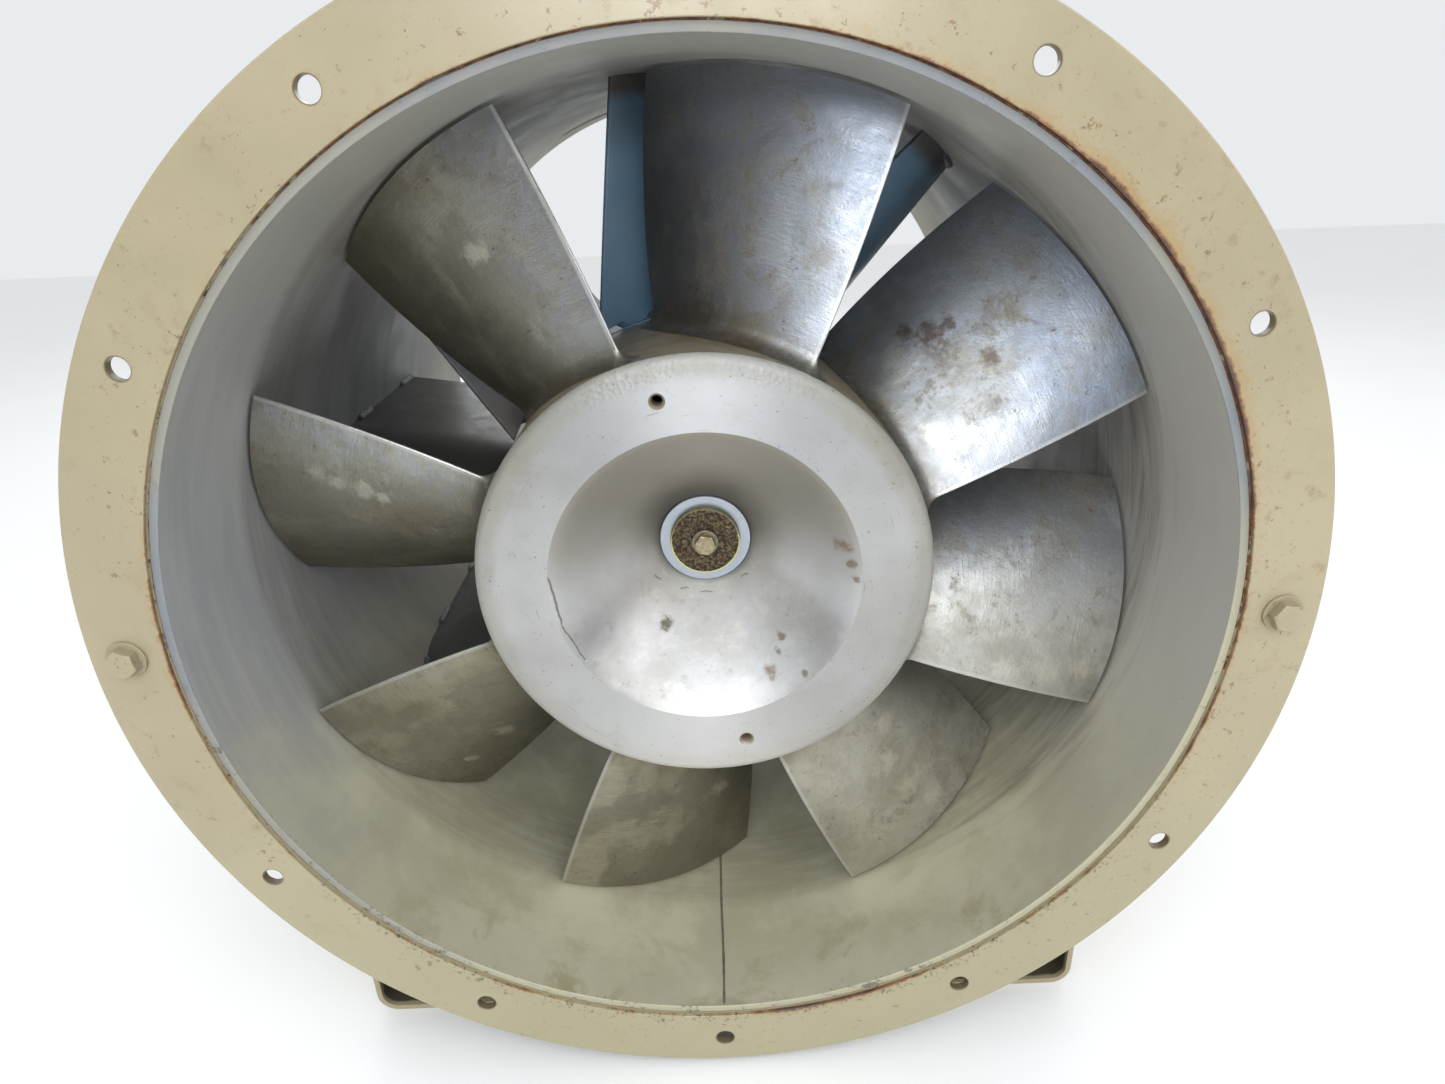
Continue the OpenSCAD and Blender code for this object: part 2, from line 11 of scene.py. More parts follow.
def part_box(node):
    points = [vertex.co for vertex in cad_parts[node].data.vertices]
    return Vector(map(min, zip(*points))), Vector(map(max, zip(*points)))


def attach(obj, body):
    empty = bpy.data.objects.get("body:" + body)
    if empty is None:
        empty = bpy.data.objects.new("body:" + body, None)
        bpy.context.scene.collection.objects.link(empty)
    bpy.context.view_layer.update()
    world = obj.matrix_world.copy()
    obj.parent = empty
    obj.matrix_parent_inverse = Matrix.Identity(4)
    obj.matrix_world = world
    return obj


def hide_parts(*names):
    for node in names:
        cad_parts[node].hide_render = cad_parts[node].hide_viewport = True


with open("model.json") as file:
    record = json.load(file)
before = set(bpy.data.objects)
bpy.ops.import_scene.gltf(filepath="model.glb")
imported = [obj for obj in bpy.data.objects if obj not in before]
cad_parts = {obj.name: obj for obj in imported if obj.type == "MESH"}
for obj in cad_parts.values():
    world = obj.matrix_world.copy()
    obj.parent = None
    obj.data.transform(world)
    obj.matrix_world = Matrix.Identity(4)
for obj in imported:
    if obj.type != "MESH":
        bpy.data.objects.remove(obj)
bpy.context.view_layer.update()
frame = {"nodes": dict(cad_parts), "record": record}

# ---------------------------------------------------------------- sizes, in metres, from the frame

MM = 0.001
FULL_TURN = 2 * math.pi
NODES = frame["nodes"]
MOUNTS = {mount["name"]: mount for mount in frame["record"]["mounts"]}


def low(node, axis):
    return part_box(node)[0]["xyz".index(axis)]


def high(node, axis):
    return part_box(node)[1]["xyz".index(axis)]


def half_width(node):
    return (high(node, "x") - low(node, "x")) / 2


def middle_y(node):
    return (low(node, "y") + high(node, "y")) / 2


# A station is a distance behind the inlet face
INLET_Y = MOUNTS["inlet_bolts_wide"]["pos_m"][1]
OUTLET_Y = MOUNTS["outlet_bolts_wide"]["pos_m"][1]
AXIS_Z = MOUNTS["inlet_bolts_wide"]["pos_m"][2]
LENGTH = OUTLET_Y - INLET_Y
BOLT_CIRCLE_R = MOUNTS["inlet_bolts_vertical"]["dims"]["spacing_y_mm"] * MM / 2
BOLT_COUNT = 12
BOLT_HOLE_R = MOUNTS["inlet_bolts_vertical"]["dims"]["hole_r_mm"] * MM
PULLER_CIRCLE_R = MOUNTS["puller_holes"]["dims"]["pcd_mm"] * MM / 2
PULLER_HOLE_R = MOUNTS["puller_holes"]["dims"]["hole_r_mm"] * MM
FOOT_SPAN = MOUNTS["foot_bolts"]["dims"]["spacing_x_mm"] * MM

TUBE_R = half_width("casing_tube")
TUBE_WALL = 6.4 * MM
BORE_R = TUBE_R - TUBE_WALL
TUBE_FROM = low("casing_tube", "y") - INLET_Y
TUBE_TO = high("casing_tube", "y") - INLET_Y
FLANGE_R = half_width("outlet_flange")
FLANGE_T = 6.5 * MM
FLANGE_BORE_R = TUBE_R + 0.3 * MM
FLANGE_LEG = high("inlet_flange", "y") - low("inlet_flange", "y")
BARREL_R = half_width("inner_barrel")
BARREL_T = 5 * MM
BARREL_FROM = low("inner_barrel", "y") - INLET_Y
BARREL_TO = high("inner_barrel", "y") - INLET_Y
ROTOR_R = half_width("impeller")
HUB_R = BARREL_R
HUB_FROM = low("impeller", "y") - INLET_Y
HUB_TO = high("impeller", "y") - INLET_Y
WASHER_R = half_width("shaft_end_washer")
BOSS_FACE = high("shaft_end_washer", "y") - INLET_Y

SADDLE_T = 5 * MM
SADDLE_BEND = 18 * MM
SADDLE_HALF = half_width("inlet_saddle_rim")
SADDLE_LEN = high("inlet_saddle_rim", "y") - low("inlet_saddle_rim", "y")
SADDLE_EDGE = -low("inlet_saddle_rim", "y")

# ---------------------------------------------------------------- mesh helpers


def mix(a, b, t):
    return a + (b - a) * t


def fan_point(radius, clock, station):
    """A point by its distance from the axis, clock angle and station.

    The clock angle is 0 at the right and grows anticlockwise, seen from the inlet."""
    return Vector((
        radius * math.cos(clock),
        INLET_Y + station,
        AXIS_Z + radius * math.sin(clock),
    ))


def outward(point):
    """From the fan axis to a point."""
    return Vector((point.x, 0, point.z - AXIS_Z))


def linked(name, data):
    """A new object in the scene."""
    made = bpy.data.objects.new(name, data)
    bpy.context.scene.collection.objects.link(made)
    return made


def finish_shading(mesh, sharp_deg=35):
    """Smooth shading in which edges sharper than sharp_deg stay crisp."""
    mesh.polygons.foreach_set("use_smooth", [True] * len(mesh.polygons))
    mesh.set_sharp_from_angle(angle=math.radians(sharp_deg))
    mesh.update()


def mesh_from(name, verts, faces, face_slots=None, uvs=None, sharp_deg=35):
    """A closed-up mesh with its normals outwards; uvs has one pair for each vertex."""
    mesh = bpy.data.meshes.new(name)
    mesh.from_pydata([tuple(v) for v in verts], [], faces)
    layer = mesh.uv_layers.new(name="UVMap")
    if uvs:
        for loop in mesh.loops:
            layer.data[loop.index].uv = uvs[loop.vertex_index]
    if face_slots:
        mesh.polygons.foreach_set("material_index", face_slots)
    built = bmesh.new()
    built.from_mesh(mesh)
    bmesh.ops.remove_doubles(built, verts=built.verts, dist=1e-7)
    bmesh.ops.recalc_face_normals(built, faces=built.faces)
    built.to_mesh(mesh)
    built.free()
    finish_shading(mesh, sharp_deg)
    return mesh


def piece(mesh, body, looks, nodes=()):
    """Links a mesh as a piece that rides on a body, wears the named looks and stands for CAD nodes."""
    made = linked(mesh.name, mesh)
    for look in looks:
        mesh.materials.append(LOOKS[look])
    weighted = made.modifiers.new("weighted_normals", "WEIGHTED_NORMAL")
    weighted.keep_sharp = True
    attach(made, body)
    if nodes:
        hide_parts(*nodes)


def joined(name, meshes):
    """Several meshes as one; material indices and UVs carry over."""
    built = bmesh.new()
    for mesh in meshes:
        built.from_mesh(mesh)
    result = bpy.data.meshes.new(name)
    built.to_mesh(result)
    built.free()
    finish_shading(result)
    return result


def evaluated(holder):
    """The mesh that an object comes to, with its modifiers; the object goes."""
    bpy.context.view_layer.update()
    depsgraph = bpy.context.evaluated_depsgraph_get()
    result = bpy.data.meshes.new_from_object(holder.evaluated_get(depsgraph))
    bpy.data.objects.remove(holder)
    return result


def modified(mesh, kind, **settings):
    """The mesh after one modifier, under the same name."""
    holder = linked("holder", mesh)
    modifier = holder.modifiers.new(kind.lower(), kind)
    for key, value in settings.items():
        setattr(modifier, key, value)
    result = evaluated(holder)
    name = mesh.name
    bpy.data.meshes.remove(mesh)
    result.name = name
    return result


def cut(mesh, cutter_meshes):
    """The mesh less the cutters."""
    cutter = linked("cutter", joined("cutter", cutter_meshes))
    result = modified(mesh, "BOOLEAN", operation="DIFFERENCE", solver="EXACT", object=cutter)
    bpy.data.objects.remove(cutter)
    finish_shading(result)
    return result


def rounded(corners, steps=5):
    """A closed outline from (x, y, radius) corners, with each corner that has a radius as an arc."""
    outline = []
    for index, (x, y, radius) in enumerate(corners):
        corner = Vector((x, y))
        if not radius:
            outline.append(corner)
            continue
        before = (Vector(corners[index - 1][:2]) - corner).normalized()
        after = (Vector(corners[(index + 1) % len(corners)][:2]) - corner).normalized()
        half = before.angle(after) / 2
        centre = corner + (before + after).normalized() * (radius / math.sin(half))
        start = corner + before * (radius / math.tan(half)) - centre
        end = corner + after * (radius / math.tan(half)) - centre
        sweep = start.angle(end)
        square = (end - start * math.cos(sweep)) / math.sin(sweep)
        for step in range(steps + 1):
            turn = sweep * step / steps
            outline.append(centre + start * math.cos(turn) + square * math.sin(turn))
    return outline


def ring_section(inner, outer, start, end, edges, steps=5):
    """A ring's section, with edge radii for its inner front, outer front, outer back and inner back."""
    corners = ((inner, start), (outer, start), (outer, end), (inner, end))
    return rounded([(*corner, edge) for corner, edge in zip(corners, edges)], steps)


def ring_faces(here, there, count, closed=True):
    """Quads between two rows of count vertices that begin at here and there."""
    faces = []
    for k in range(count if closed else count - 1):
        after = (k + 1) % count
        faces.append((here + k, here + after, there + after, there + k))
    return faces


def loft(rings):
    """Vertices and side faces of equal closed rings joined one after another."""
    count = len(rings[0])
    verts = [point for ring in rings for point in ring]
    faces = []
    for row in range(len(rings) - 1):
        faces += ring_faces(row * count, (row + 1) * count, count)
    return verts, faces


def end_caps(verts, count):
    """Faces that close the first and last rings of a loft."""
    return [tuple(range(count)), tuple(len(verts) - 1 - k for k in range(count))]


def section_cap(first, steps, tail, count):
    """Faces across a thin section of count points, whose vertices begin at first.

    It runs along one side in steps + 1 points, round its tail in tail points, back along the
    other side in steps + 1 points and round its nose in the rest."""
    lower = steps + 1 + tail
    faces = []
    for k in range(steps):
        far = first + lower + steps - k
        faces.append((first + k, first + k + 1, far - 1, far))
    if tail:
        faces.append(tuple(range(first + steps, first + lower + 1)))
    faces.append((*range(first + lower + steps, first + count), first))
    return faces


def lathe(name, outline, segments=240, closed=True, centre=None, slots=None):
    """An outline of (radius, station) turned round the fan axis, or round centre parallel to it."""
    verts = []
    for turn in range(segments):
        for radius, station in outline:
            verts.append(fan_point(radius, FULL_TURN * turn / segments, station))
    if centre:
        shift = Vector(centre) - Vector((0, INLET_Y, AXIS_Z))
        verts = [v + shift for v in verts]
    count = len(outline)
    faces, face_slots = [], []
    for turn in range(segments):
        strip = ring_faces(turn * count, (turn + 1) % segments * count, count, closed)
        faces += strip
        face_slots += slots[:len(strip)] if slots else [0] * len(strip)
    return mesh_from(name, verts, faces, face_slots)


def rod(name, radius, start, end, edge=0.0, segments=48, centre=None):
    """A solid round bar along the fan axis, or round centre parallel to it, with its far edge rounded."""
    outline = rounded([(0.0, start, 0), (radius, start, 0), (radius, end, edge), (0.0, end, 0)])
    return lathe(name, outline, segments, closed=False, centre=centre)


def plate(name, loop, thickness, edge, place):
    """A flat plate with rounded edges, from an outline in its own XY plane."""
    curve = bpy.data.curves.new(name, "CURVE")
    curve.dimensions = "2D"
    curve.fill_mode = "BOTH"
    curve.extrude = thickness / 2 - edge
    curve.bevel_depth = edge
    curve.bevel_resolution = 2
    curve.offset = -edge
    spline = curve.splines.new("POLY")
    spline.points.add(len(loop) - 1)
    for point, (x, y) in zip(spline.points, loop):
        point.co = (x, y, 0, 1)
    spline.use_cyclic_u = True
    mesh = evaluated(linked(name, curve))
    mesh.name = name
    mesh.transform(place)
    finish_shading(mesh)
    return mesh


BEAD_SIDES = 8
BEAD_END = 0.35
BEAD_RIPPLE = 0.16
BEAD_WOBBLE = 0.25
WOBBLES_PER_METRE = 90


def bead(name, path, rises, width, height, ripple=2.2 * MM, seed=0):
    """A run of weld along a path of points; rises has the way it stands proud at each point."""
    total = sum((b - a).length for a, b in zip(path, path[1:]))
    run = 0.0
    rings = []
    for index, (point, rise) in enumerate(zip(path, rises)):
        ahead = path[min(index + 1, len(path) - 1)] - path[max(index - 1, 0)]
        rise = rise.normalized()
        across = ahead.cross(rise).normalized()
        if index:
            run += (point - path[index - 1]).length
        fade = min(1.0, BEAD_END + run / width, BEAD_END + (total - run) / width)
        wave = 1 + BEAD_RIPPLE * abs(math.sin(math.pi * run / ripple))
        wobble = 1 + BEAD_WOBBLE * noise.noise(Vector((run * WOBBLES_PER_METRE, seed * 7.3, 1.7)))
        ring = []
        for k in range(BEAD_SIDES):
            turn = FULL_TURN * k / BEAD_SIDES
            sideways = across * (math.cos(turn) * width / 2 * fade * wobble)
            ring.append(point + sideways + rise * (math.sin(turn) * height * fade * wave))
        rings.append(ring)
    verts, faces = loft(rings)
    return mesh_from(name, verts, faces + end_caps(verts, BEAD_SIDES), sharp_deg=70)


HEX_SEGMENTS = 72
HEX_TOP_SHARE = 0.96
HEX_CHAMFER = math.radians(30)


def hex_head(name, flats, height, centre, seat, spin, edge=0.5 * MM):
    """A chamfered hex head round (x, z), which stands forward of its seat, towards the inlet."""
    top_r = flats / 2 * HEX_TOP_SHARE
    rings = [[], [], [], []]
    for k in range(HEX_SEGMENTS):
        turn = FULL_TURN * k / HEX_SEGMENTS
        from_flat = (turn + math.pi / 6) % (math.pi / 3) - math.pi / 6
        reach = flats / 2 / math.cos(from_flat)
        drop = max(0.0, (reach - top_r) * math.tan(HEX_CHAMFER))
        way = Vector((math.cos(turn + spin), 0, math.sin(turn + spin)))
        levels = ((reach, 0.0), (reach, height - drop), (top_r, height), (top_r / 2, height))
        for ring, (radius, rise) in zip(rings, levels):
            ring.append(Vector((centre[0], seat - rise, centre[1])) + way * radius)
    verts, faces = loft(rings)
    mesh = mesh_from(name, verts, faces + end_caps(verts, HEX_SEGMENTS), sharp_deg=20)
    return modified(
        mesh, "BEVEL", width=edge, segments=2, limit_method="ANGLE", angle_limit=math.radians(24),
    )


# ---------------------------------------------------------------- looks


class Nodes:
    """Short ways to add shader nodes to a tree; a value is a constant or another node's socket."""

    def __init__(self, tree):
        self.tree = tree

    def node(self, kind, **settings):
        made = self.tree.nodes.new(kind)
        for key, value in settings.items():
            setattr(made, key, value)
        return made

    def feed(self, socket, value):
        if isinstance(value, bpy.types.NodeSocket):
            self.tree.links.new(value, socket)
        else:
            socket.default_value = value

    def filled(self, kind, values, **settings):
        """The first output of a node whose first inputs are the values."""
        made = self.node(kind, **settings)
        for socket, value in zip(made.inputs, values):
            self.feed(socket, value)
        return made.outputs[0]

    def math(self, operation, *values):
        return self.filled("ShaderNodeMath", values, operation=operation)

    def chain(self, operation, values):
        result, *others = values
        for value in others:
            result = self.math(operation, result, value)
        return result

    def add(self, *values):
        return self.chain("ADD", values)

    def times(self, *values):
        return self.chain("MULTIPLY", values)

    def weighted(self, *pairs):
        """The sum of (value, weight) pairs."""
        return self.add(*(self.times(value, weight) for value, weight in pairs))

    def distance(self, a, b):
        """The length of the vector (a, b)."""
        return self.math("SQRT", self.weighted((a, a), (b, b)))

    def vector(self, x, y, z):
        return self.filled("ShaderNodeCombineXYZ", (x, y, z))

    def split(self, vector):
        made = self.node("ShaderNodeSeparateXYZ")
        self.feed(made.inputs[0], vector)
        return tuple(made.outputs)

    def band(self, value, start, end, low=0.0, high=1.0):
        """A smooth step of value from low at start to high at end."""
        made = self.node("ShaderNodeMapRange", interpolation_type="SMOOTHSTEP")
        self.feed(made.inputs["Value"], value)
        made.inputs["From Min"].default_value = min(start, end)
        made.inputs["From Max"].default_value = max(start, end)
        made.inputs["To Min"].default_value = low if start < end else high
        made.inputs["To Max"].default_value = high if start < end else low
        return made.outputs["Result"]

    def blend(self, share, first, second):
        """The first colour where share is 0 and the second where it is 1."""
        made = self.node("ShaderNodeMix", data_type="RGBA")
        self.feed(made.inputs[0], share)
        for socket, colour in ((made.inputs[6], first), (made.inputs[7], second)):
            self.feed(socket, (*colour, 1.0) if isinstance(colour, tuple) else colour)
        return made.outputs[2]


class Look(Nodes):
    """One procedural material round a Principled shader, painted layer on layer over its base colour."""

    def __init__(self, name, metallic=0.0, anisotropic=0.0, specular=0.5):
        self.material = bpy.data.materials.new(name)
        self.material.use_nodes = True
        super().__init__(self.material.node_tree)
        self.tree.nodes.clear()
        output = self.node("ShaderNodeOutputMaterial")
        self.shader = self.node("ShaderNodeBsdfPrincipled")
        self.tree.links.new(self.shader.outputs[0], output.inputs[0])
        coordinates = self.node("ShaderNodeTexCoord")
        self.place = coordinates.outputs["Object"]
        self.uv = coordinates.outputs["UV"]
        self.base = None
        self.set("Metallic", metallic)
        self.set("Coat Roughness", 0.25)
        self.set("Anisotropic", anisotropic)
        self.set("Specular IOR Level", specular)

    def set(self, name, value):
        self.feed(self.shader.inputs[name], value)

    @cached_property
    def xyz(self):
        return self.split(self.place)

    @cached_property
    def rise(self):
        """Height above the fan axis."""
        return self.math("SUBTRACT", self.xyz[2], AXIS_Z)

    @cached_property
    def radius(self):
        """Distance from the fan axis."""
        return self.distance(self.xyz[0], self.rise)

    @cached_property
    def clock(self):
        return self.math("ARCTAN2", self.rise, self.xyz[0])

    @cached_property
    def station(self):
        return self.math("SUBTRACT", self.xyz[1], INLET_Y)

    @cached_property
    def right(self):
        """1 at the fan's right, -1 at its left."""
        return self.math("COSINE", self.clock)

    @cached_property
    def up(self):
        """1 at the fan's top, -1 at its bottom."""
        return self.math("SINE", self.clock)

    def near(self, degrees, start, end, low=0.0, high=1.0):
        """A band of the cosine of the angle away from a clock position in degrees."""
        away = self.add(self.clock, -math.radians(degrees))
        return self.band(self.math("COSINE", away), start, end, low, high)

    def noise(self, scale, detail=4.0, roughness=0.55, distortion=0.0, place=None):
        made = self.node("ShaderNodeTexNoise")
        self.feed(made.inputs["Vector"], place or self.place)
        made.inputs["Scale"].default_value = scale
        made.inputs["Detail"].default_value = detail
        made.inputs["Roughness"].default_value = roughness
        made.inputs["Distortion"].default_value = distortion
        return made.outputs["Fac"]

    def cells(self, scale):
        made = self.node("ShaderNodeTexVoronoi")
        self.feed(made.inputs["Vector"], self.place)
        made.inputs["Scale"].default_value = scale
        return made.outputs["Distance"]

    def centred(self, value, amount):
        """A noise moved to swing either side of 0, then scaled."""
        return self.times(self.add(value, -0.5), amount)

    def paint(self, colour, *shares):
        """Lays a colour over the base, as strongly as the product of the shares."""
        self.base = self.blend(self.times(*shares), self.base, colour)

    def stains(self, spots, colour, strength):
        """Ragged stains, each given as (radius, clock degrees, size)."""
        ragged = self.noise(130, 7, 0.72)
        for radius, degrees, size in spots:
            centre = fan_point(radius, math.radians(degrees), 0)
            away = self.distance(self.add(self.xyz[0], -centre.x), self.add(self.xyz[2], -centre.z))
            reach = self.add(away, self.centred(ragged, -2.6 * size))
            self.paint(colour, self.band(reach, size, size * 0.25), strength)

    def scratch(self, first, last, width, wander):
        """The share of a ragged line seen from the inlet, between two (radius, clock degrees) points."""
        a, b = (fan_point(radius, math.radians(degrees), 0) for radius, degrees in (first, last))
        run = Vector((b.x - a.x, b.z - a.z))
        length = run.length
        x = self.add(self.xyz[0], -a.x)
        z = self.add(self.xyz[2], -a.z)
        along = self.weighted((x, run.x / length), (z, run.y / length))
        across = self.weighted((x, -run.y / length), (z, run.x / length))
        across = self.math("ABSOLUTE", self.add(across, self.centred(self.noise(90, 6, 0.7), wander)))
        beyond = self.math("ABSOLUTE", self.add(along, -length / 2))
        kept = self.band(beyond, length / 2, length * 0.42)
        return self.times(self.band(across, width, width * 0.3), kept)

    def bump(self, heights, strength, distance):
        made = self.node("ShaderNodeBump")
        made.inputs["Strength"].default_value = strength
        made.inputs["Distance"].default_value = distance
        self.feed(made.inputs["Height"], heights)
        return made.outputs[0]

    def turned(self):
        """Makes turning marks run round the fan axis, so highlights spread across them."""
        way = self.vector(self.times(self.rise, -1.0), 0.0, self.xyz[0])
        world_way = self.filled(
            "ShaderNodeVectorTransform", [way],
            vector_type="VECTOR", convert_from="OBJECT", convert_to="WORLD",
        )
        self.set("Tangent", self.filled("ShaderNodeVectorMath", [world_way], operation="NORMALIZE"))
        self.set("Anisotropic Rotation", 0.25)

    def finish(self, roughness=None, heights=None, strength=0.0, distance=0.001):
        """Hands the painted base to the shader, with a roughness and bump where they are given."""
        self.set("Base Color", self.base)
        if roughness is not None:
            self.set("Roughness", roughness)
        if heights is not None:
            self.set("Normal", self.bump(heights, strength, distance))
        return self.material


CREAM = (0.290, 0.247, 0.155)
CREAM_STAIN = (0.22, 0.155, 0.075)
OCHRE = (0.30, 0.19, 0.065)
RUST = (0.17, 0.062, 0.020)
DARK_RUST = (0.045, 0.024, 0.020)
TIP_BAND_DARK = (0.085, 0.075, 0.055)


def shade(colour, factor):
    return tuple(c * factor for c in colour)


def enamel(name, colour=CREAM, stain=CREAM_STAIN, chip=RUST, chip_amount=0.0, dust=0.35):
    """Old machine enamel: uneven tone, stains, small chips and rust freckles, slight orange peel."""
    look = Look(name, specular=0.42)
    look.base = look.blend(look.band(look.noise(9, 6), 0.35, 0.68), colour, shade(colour, 1.12))
    patches = look.noise(26, 8, 0.65, 0.6)
    look.paint(stain, look.band(patches, 0.56, 0.76), dust)
    freckles = look.band(look.noise(420, 3, 0.6), 0.70 - chip_amount, 0.735 - chip_amount)
    look.paint(chip, freckles, look.band(look.noise(14, 5), 0.42, 0.66), 0.8)
    look.set("Roughness", look.band(patches, 0.3, 0.75, 0.29, 0.50))
    peel = look.weighted((look.noise(700, 2), 0.25), (look.noise(60, 3), 0.8))
    look.set("Normal", look.bump(peel, 0.12, 0.0012))
    return look


def flange_look():
    """Cream enamel, rusting in a ragged fringe along its inner edge, worst at the upper right."""
    look = enamel("flange_enamel", chip_amount=0.015)
    look.set("Coat Weight", 0.5)
    right_side = look.band(look.right, -0.2, 0.8, 0.0, 0.10)
    dirty = look.band(look.add(look.noise(16, 3), right_side), 0.40, 0.62)
    look.paint((0.20, 0.14, 0.07), look.band(look.noise(70, 7, 0.68), 0.57, 0.70), dirty, 0.55)
    lower = look.band(look.up, -0.1, -0.85)
    # Painted light: the lower flange is painted a paler, greener cream.
    look.paint((0.300, 0.280, 0.165), lower, 0.6)
    flecks = look.noise(260, 4, 0.7)
    look.paint((0.10, 0.06, 0.035), look.band(flecks, 0.645, 0.70), dirty, 0.8)
    whiskers = look.noise(330, 5, 0.75)
    medium = look.noise(48, 6, 0.7)
    amount = look.weighted(
        (look.noise(7, 4, 0.6), 0.55), (medium, 0.45), (look.near(38, 0.55, 0.98), 0.09), (whiskers, 0.22),
    )
    depth = look.add(look.radius, -FLANGE_BORE_R)
    look.paint(
        OCHRE,
        look.band(look.weighted((whiskers, 0.6), (flecks, 0.4)), 0.56, 0.62),
        look.band(depth, 0.045, 0.004),
        look.near(30, 0.3, 0.9),
        0.55,
    )
    chips = look.band(look.noise(105, 7, 0.72), 0.605, 0.65)
    look.paint((0.16, 0.085, 0.035), chips, look.band(depth, 0.055, 0.008), 0.8)
    hole_share = look.math("PINGPONG", look.times(look.clock, BOLT_COUNT / FULL_TURN), 0.5)
    across = look.times(hole_share, FULL_TURN / BOLT_COUNT * BOLT_CIRCLE_R)
    from_hole = look.distance(across, look.add(look.radius, -BOLT_CIRCLE_R))
    from_hole = look.add(from_hole, look.centred(medium, 0.0022))
    ring = look.band(from_hole, BOLT_HOLE_R + 0.0016, BOLT_HOLE_R + 0.0003)
    look.paint((0.11, 0.075, 0.045), ring, 0.8)
    halo = look.math("SUBTRACT", amount, look.times(depth, 24.0))
    look.paint(OCHRE, look.band(halo, 0.52, 0.74), 0.62)
    fringe = look.math("SUBTRACT", amount, look.times(depth, 62.0))
    look.paint(RUST, look.band(fringe, 0.58, 0.68), 0.85)
    look.paint(DARK_RUST, look.band(fringe, 0.66, 0.74), 0.85)
    look.paint(
        (0.055, 0.045, 0.030), look.band(flecks, 0.56, 0.62), look.band(depth, 0.012, 0.001), lower, 0.85,
    )
    return look.finish()


def saddle_look():
    """The saddles' cream paint, with painted shade: black inside the bent strips near the floor."""
    look = enamel("saddle_enamel", chip_amount=0.01, dust=0.4)
    x, y, z = look.xyz
    ragged = look.centred(look.noise(60, 6, 0.7), 0.006)
    # Painted shade: black inside each bent strip, under the casing and near the floor.
    look.paint(
        (0.035, 0.030, 0.024),
        look.band(look.add(look.math("ABSOLUTE", y), ragged), SADDLE_EDGE - 0.003, SADDLE_EDGE - 0.006),
        look.band(look.math("ABSOLUTE", x), SADDLE_HALF - 0.0005, SADDLE_HALF - 0.0025),
        look.band(z, 0.0005, 0.0025),
        look.band(z, 0.13, 0.06),
        0.9,
    )
    return look.finish()


def casing_look():
    """Primer inside the casing: blue-grey on the left, dusty beige and olive at the bottom, and a paler
    beige at the right that is partly painted light.
    """
    look = Look("casing_bore_primer", specular=0.3)
    station = look.station
    round_way = look.vector(look.times(look.right, 0.5), look.times(station, 14), look.times(look.up, 0.5))
    streaks = look.noise(4, 7, 0.6, place=round_way)
    fine_streaks = look.noise(9, 5, 0.55, place=round_way)
    mottle = look.noise(11, 9, 0.66, 0.3)
    look.base = look.blend(look.band(streaks, 0.3, 0.7), (0.28, 0.29, 0.30), (0.34, 0.345, 0.347))
    look.paint((0.34, 0.33, 0.29), look.band(look.up, 0.15, 0.9), 0.85)
    # Partly painted light: the right side of the bore is painted a paler, warmer beige.
    look.paint((0.45, 0.42, 0.365), look.band(look.right, 0.2, 0.95), 0.7)
    dusty = look.band(look.add(look.up, look.times(mottle, 0.5)), 0.25, -0.55)
    floor_dust = look.blend(look.band(mottle, 0.35, 0.65), (0.44, 0.415, 0.29), (0.335, 0.31, 0.20))
    look.paint(floor_dust, dusty, 0.9)
    look.paint((0.33, 0.31, 0.23), look.band(station, 0.10, 0.02), dusty, 0.5)
    look.paint(
        (0.20, 0.185, 0.085),
        look.band(look.noise(17, 8, 0.68, 0.4), 0.50, 0.66),
        look.band(station, 0.12, 0.01),
        look.band(look.up, -0.55, -0.85),
        0.6,
    )
    look.paint(
        (0.06, 0.055, 0.04),
        look.band(look.noise(250, 5, 0.72), 0.575, 0.64),
        look.band(station, 0.012, 0.001),
        look.near(-115, 0.3, 0.9),
        0.85,
    )
    # A darker brown mottle beside the blades, at the right.
    dark_mottle = look.band(look.noise(6, 8, 0.62, place=round_way), 0.46, 0.66)
    beside_blades = look.times(
        look.band(station, 0.07, 0.14), look.band(station, 0.34, 0.24), look.band(look.right, 0.3, 0.8),
    )
    look.paint((0.15, 0.125, 0.11), dark_mottle, beside_blades, 0.6)
    # A streaky darker band round the bore where the blade tips pass.
    round_tips = look.times(look.band(station, 0.105, 0.13), look.band(station, 0.24, 0.19))
    look.paint(TIP_BAND_DARK, round_tips, look.band(fine_streaks, 0.25, 0.70, 0.16, 0.36))
    far_end = look.times(look.band(station, 0.56, 0.70), look.band(streaks, 0.25, 0.6, 0.5, 1.0))
    look.paint((0.40, 0.385, 0.295), far_end, 0.7)
    tarry = look.distance(
        look.times(look.add(look.clock, -math.radians(110)), BORE_R * 0.45), look.add(station, -0.70),
    )
    tarry = look.add(tarry, look.centred(look.noise(45, 6, 0.7), 0.03))
    look.paint((0.035, 0.028, 0.022), look.band(tarry, 0.024, 0.016), 0.95)
    look.paint((0.09, 0.065, 0.04), look.band(look.noise(190, 4, 0.7), 0.67, 0.74), 0.45)
    from_seam = look.math("ABSOLUTE", look.add(look.math("ABSOLUTE", look.clock), -math.pi / 2))
    on_seam = look.times(look.band(from_seam, 0.05, 0.008), look.band(look.up, -0.9, -0.97))
    look.paint((0.30, 0.28, 0.22), on_seam, 0.3)
    roughness = look.band(mottle, 0.3, 0.7, 0.45, 0.68)
    return look.finish(roughness, look.weighted((streaks, 0.4), (mottle, 0.8)), 0.14, 0.0015)


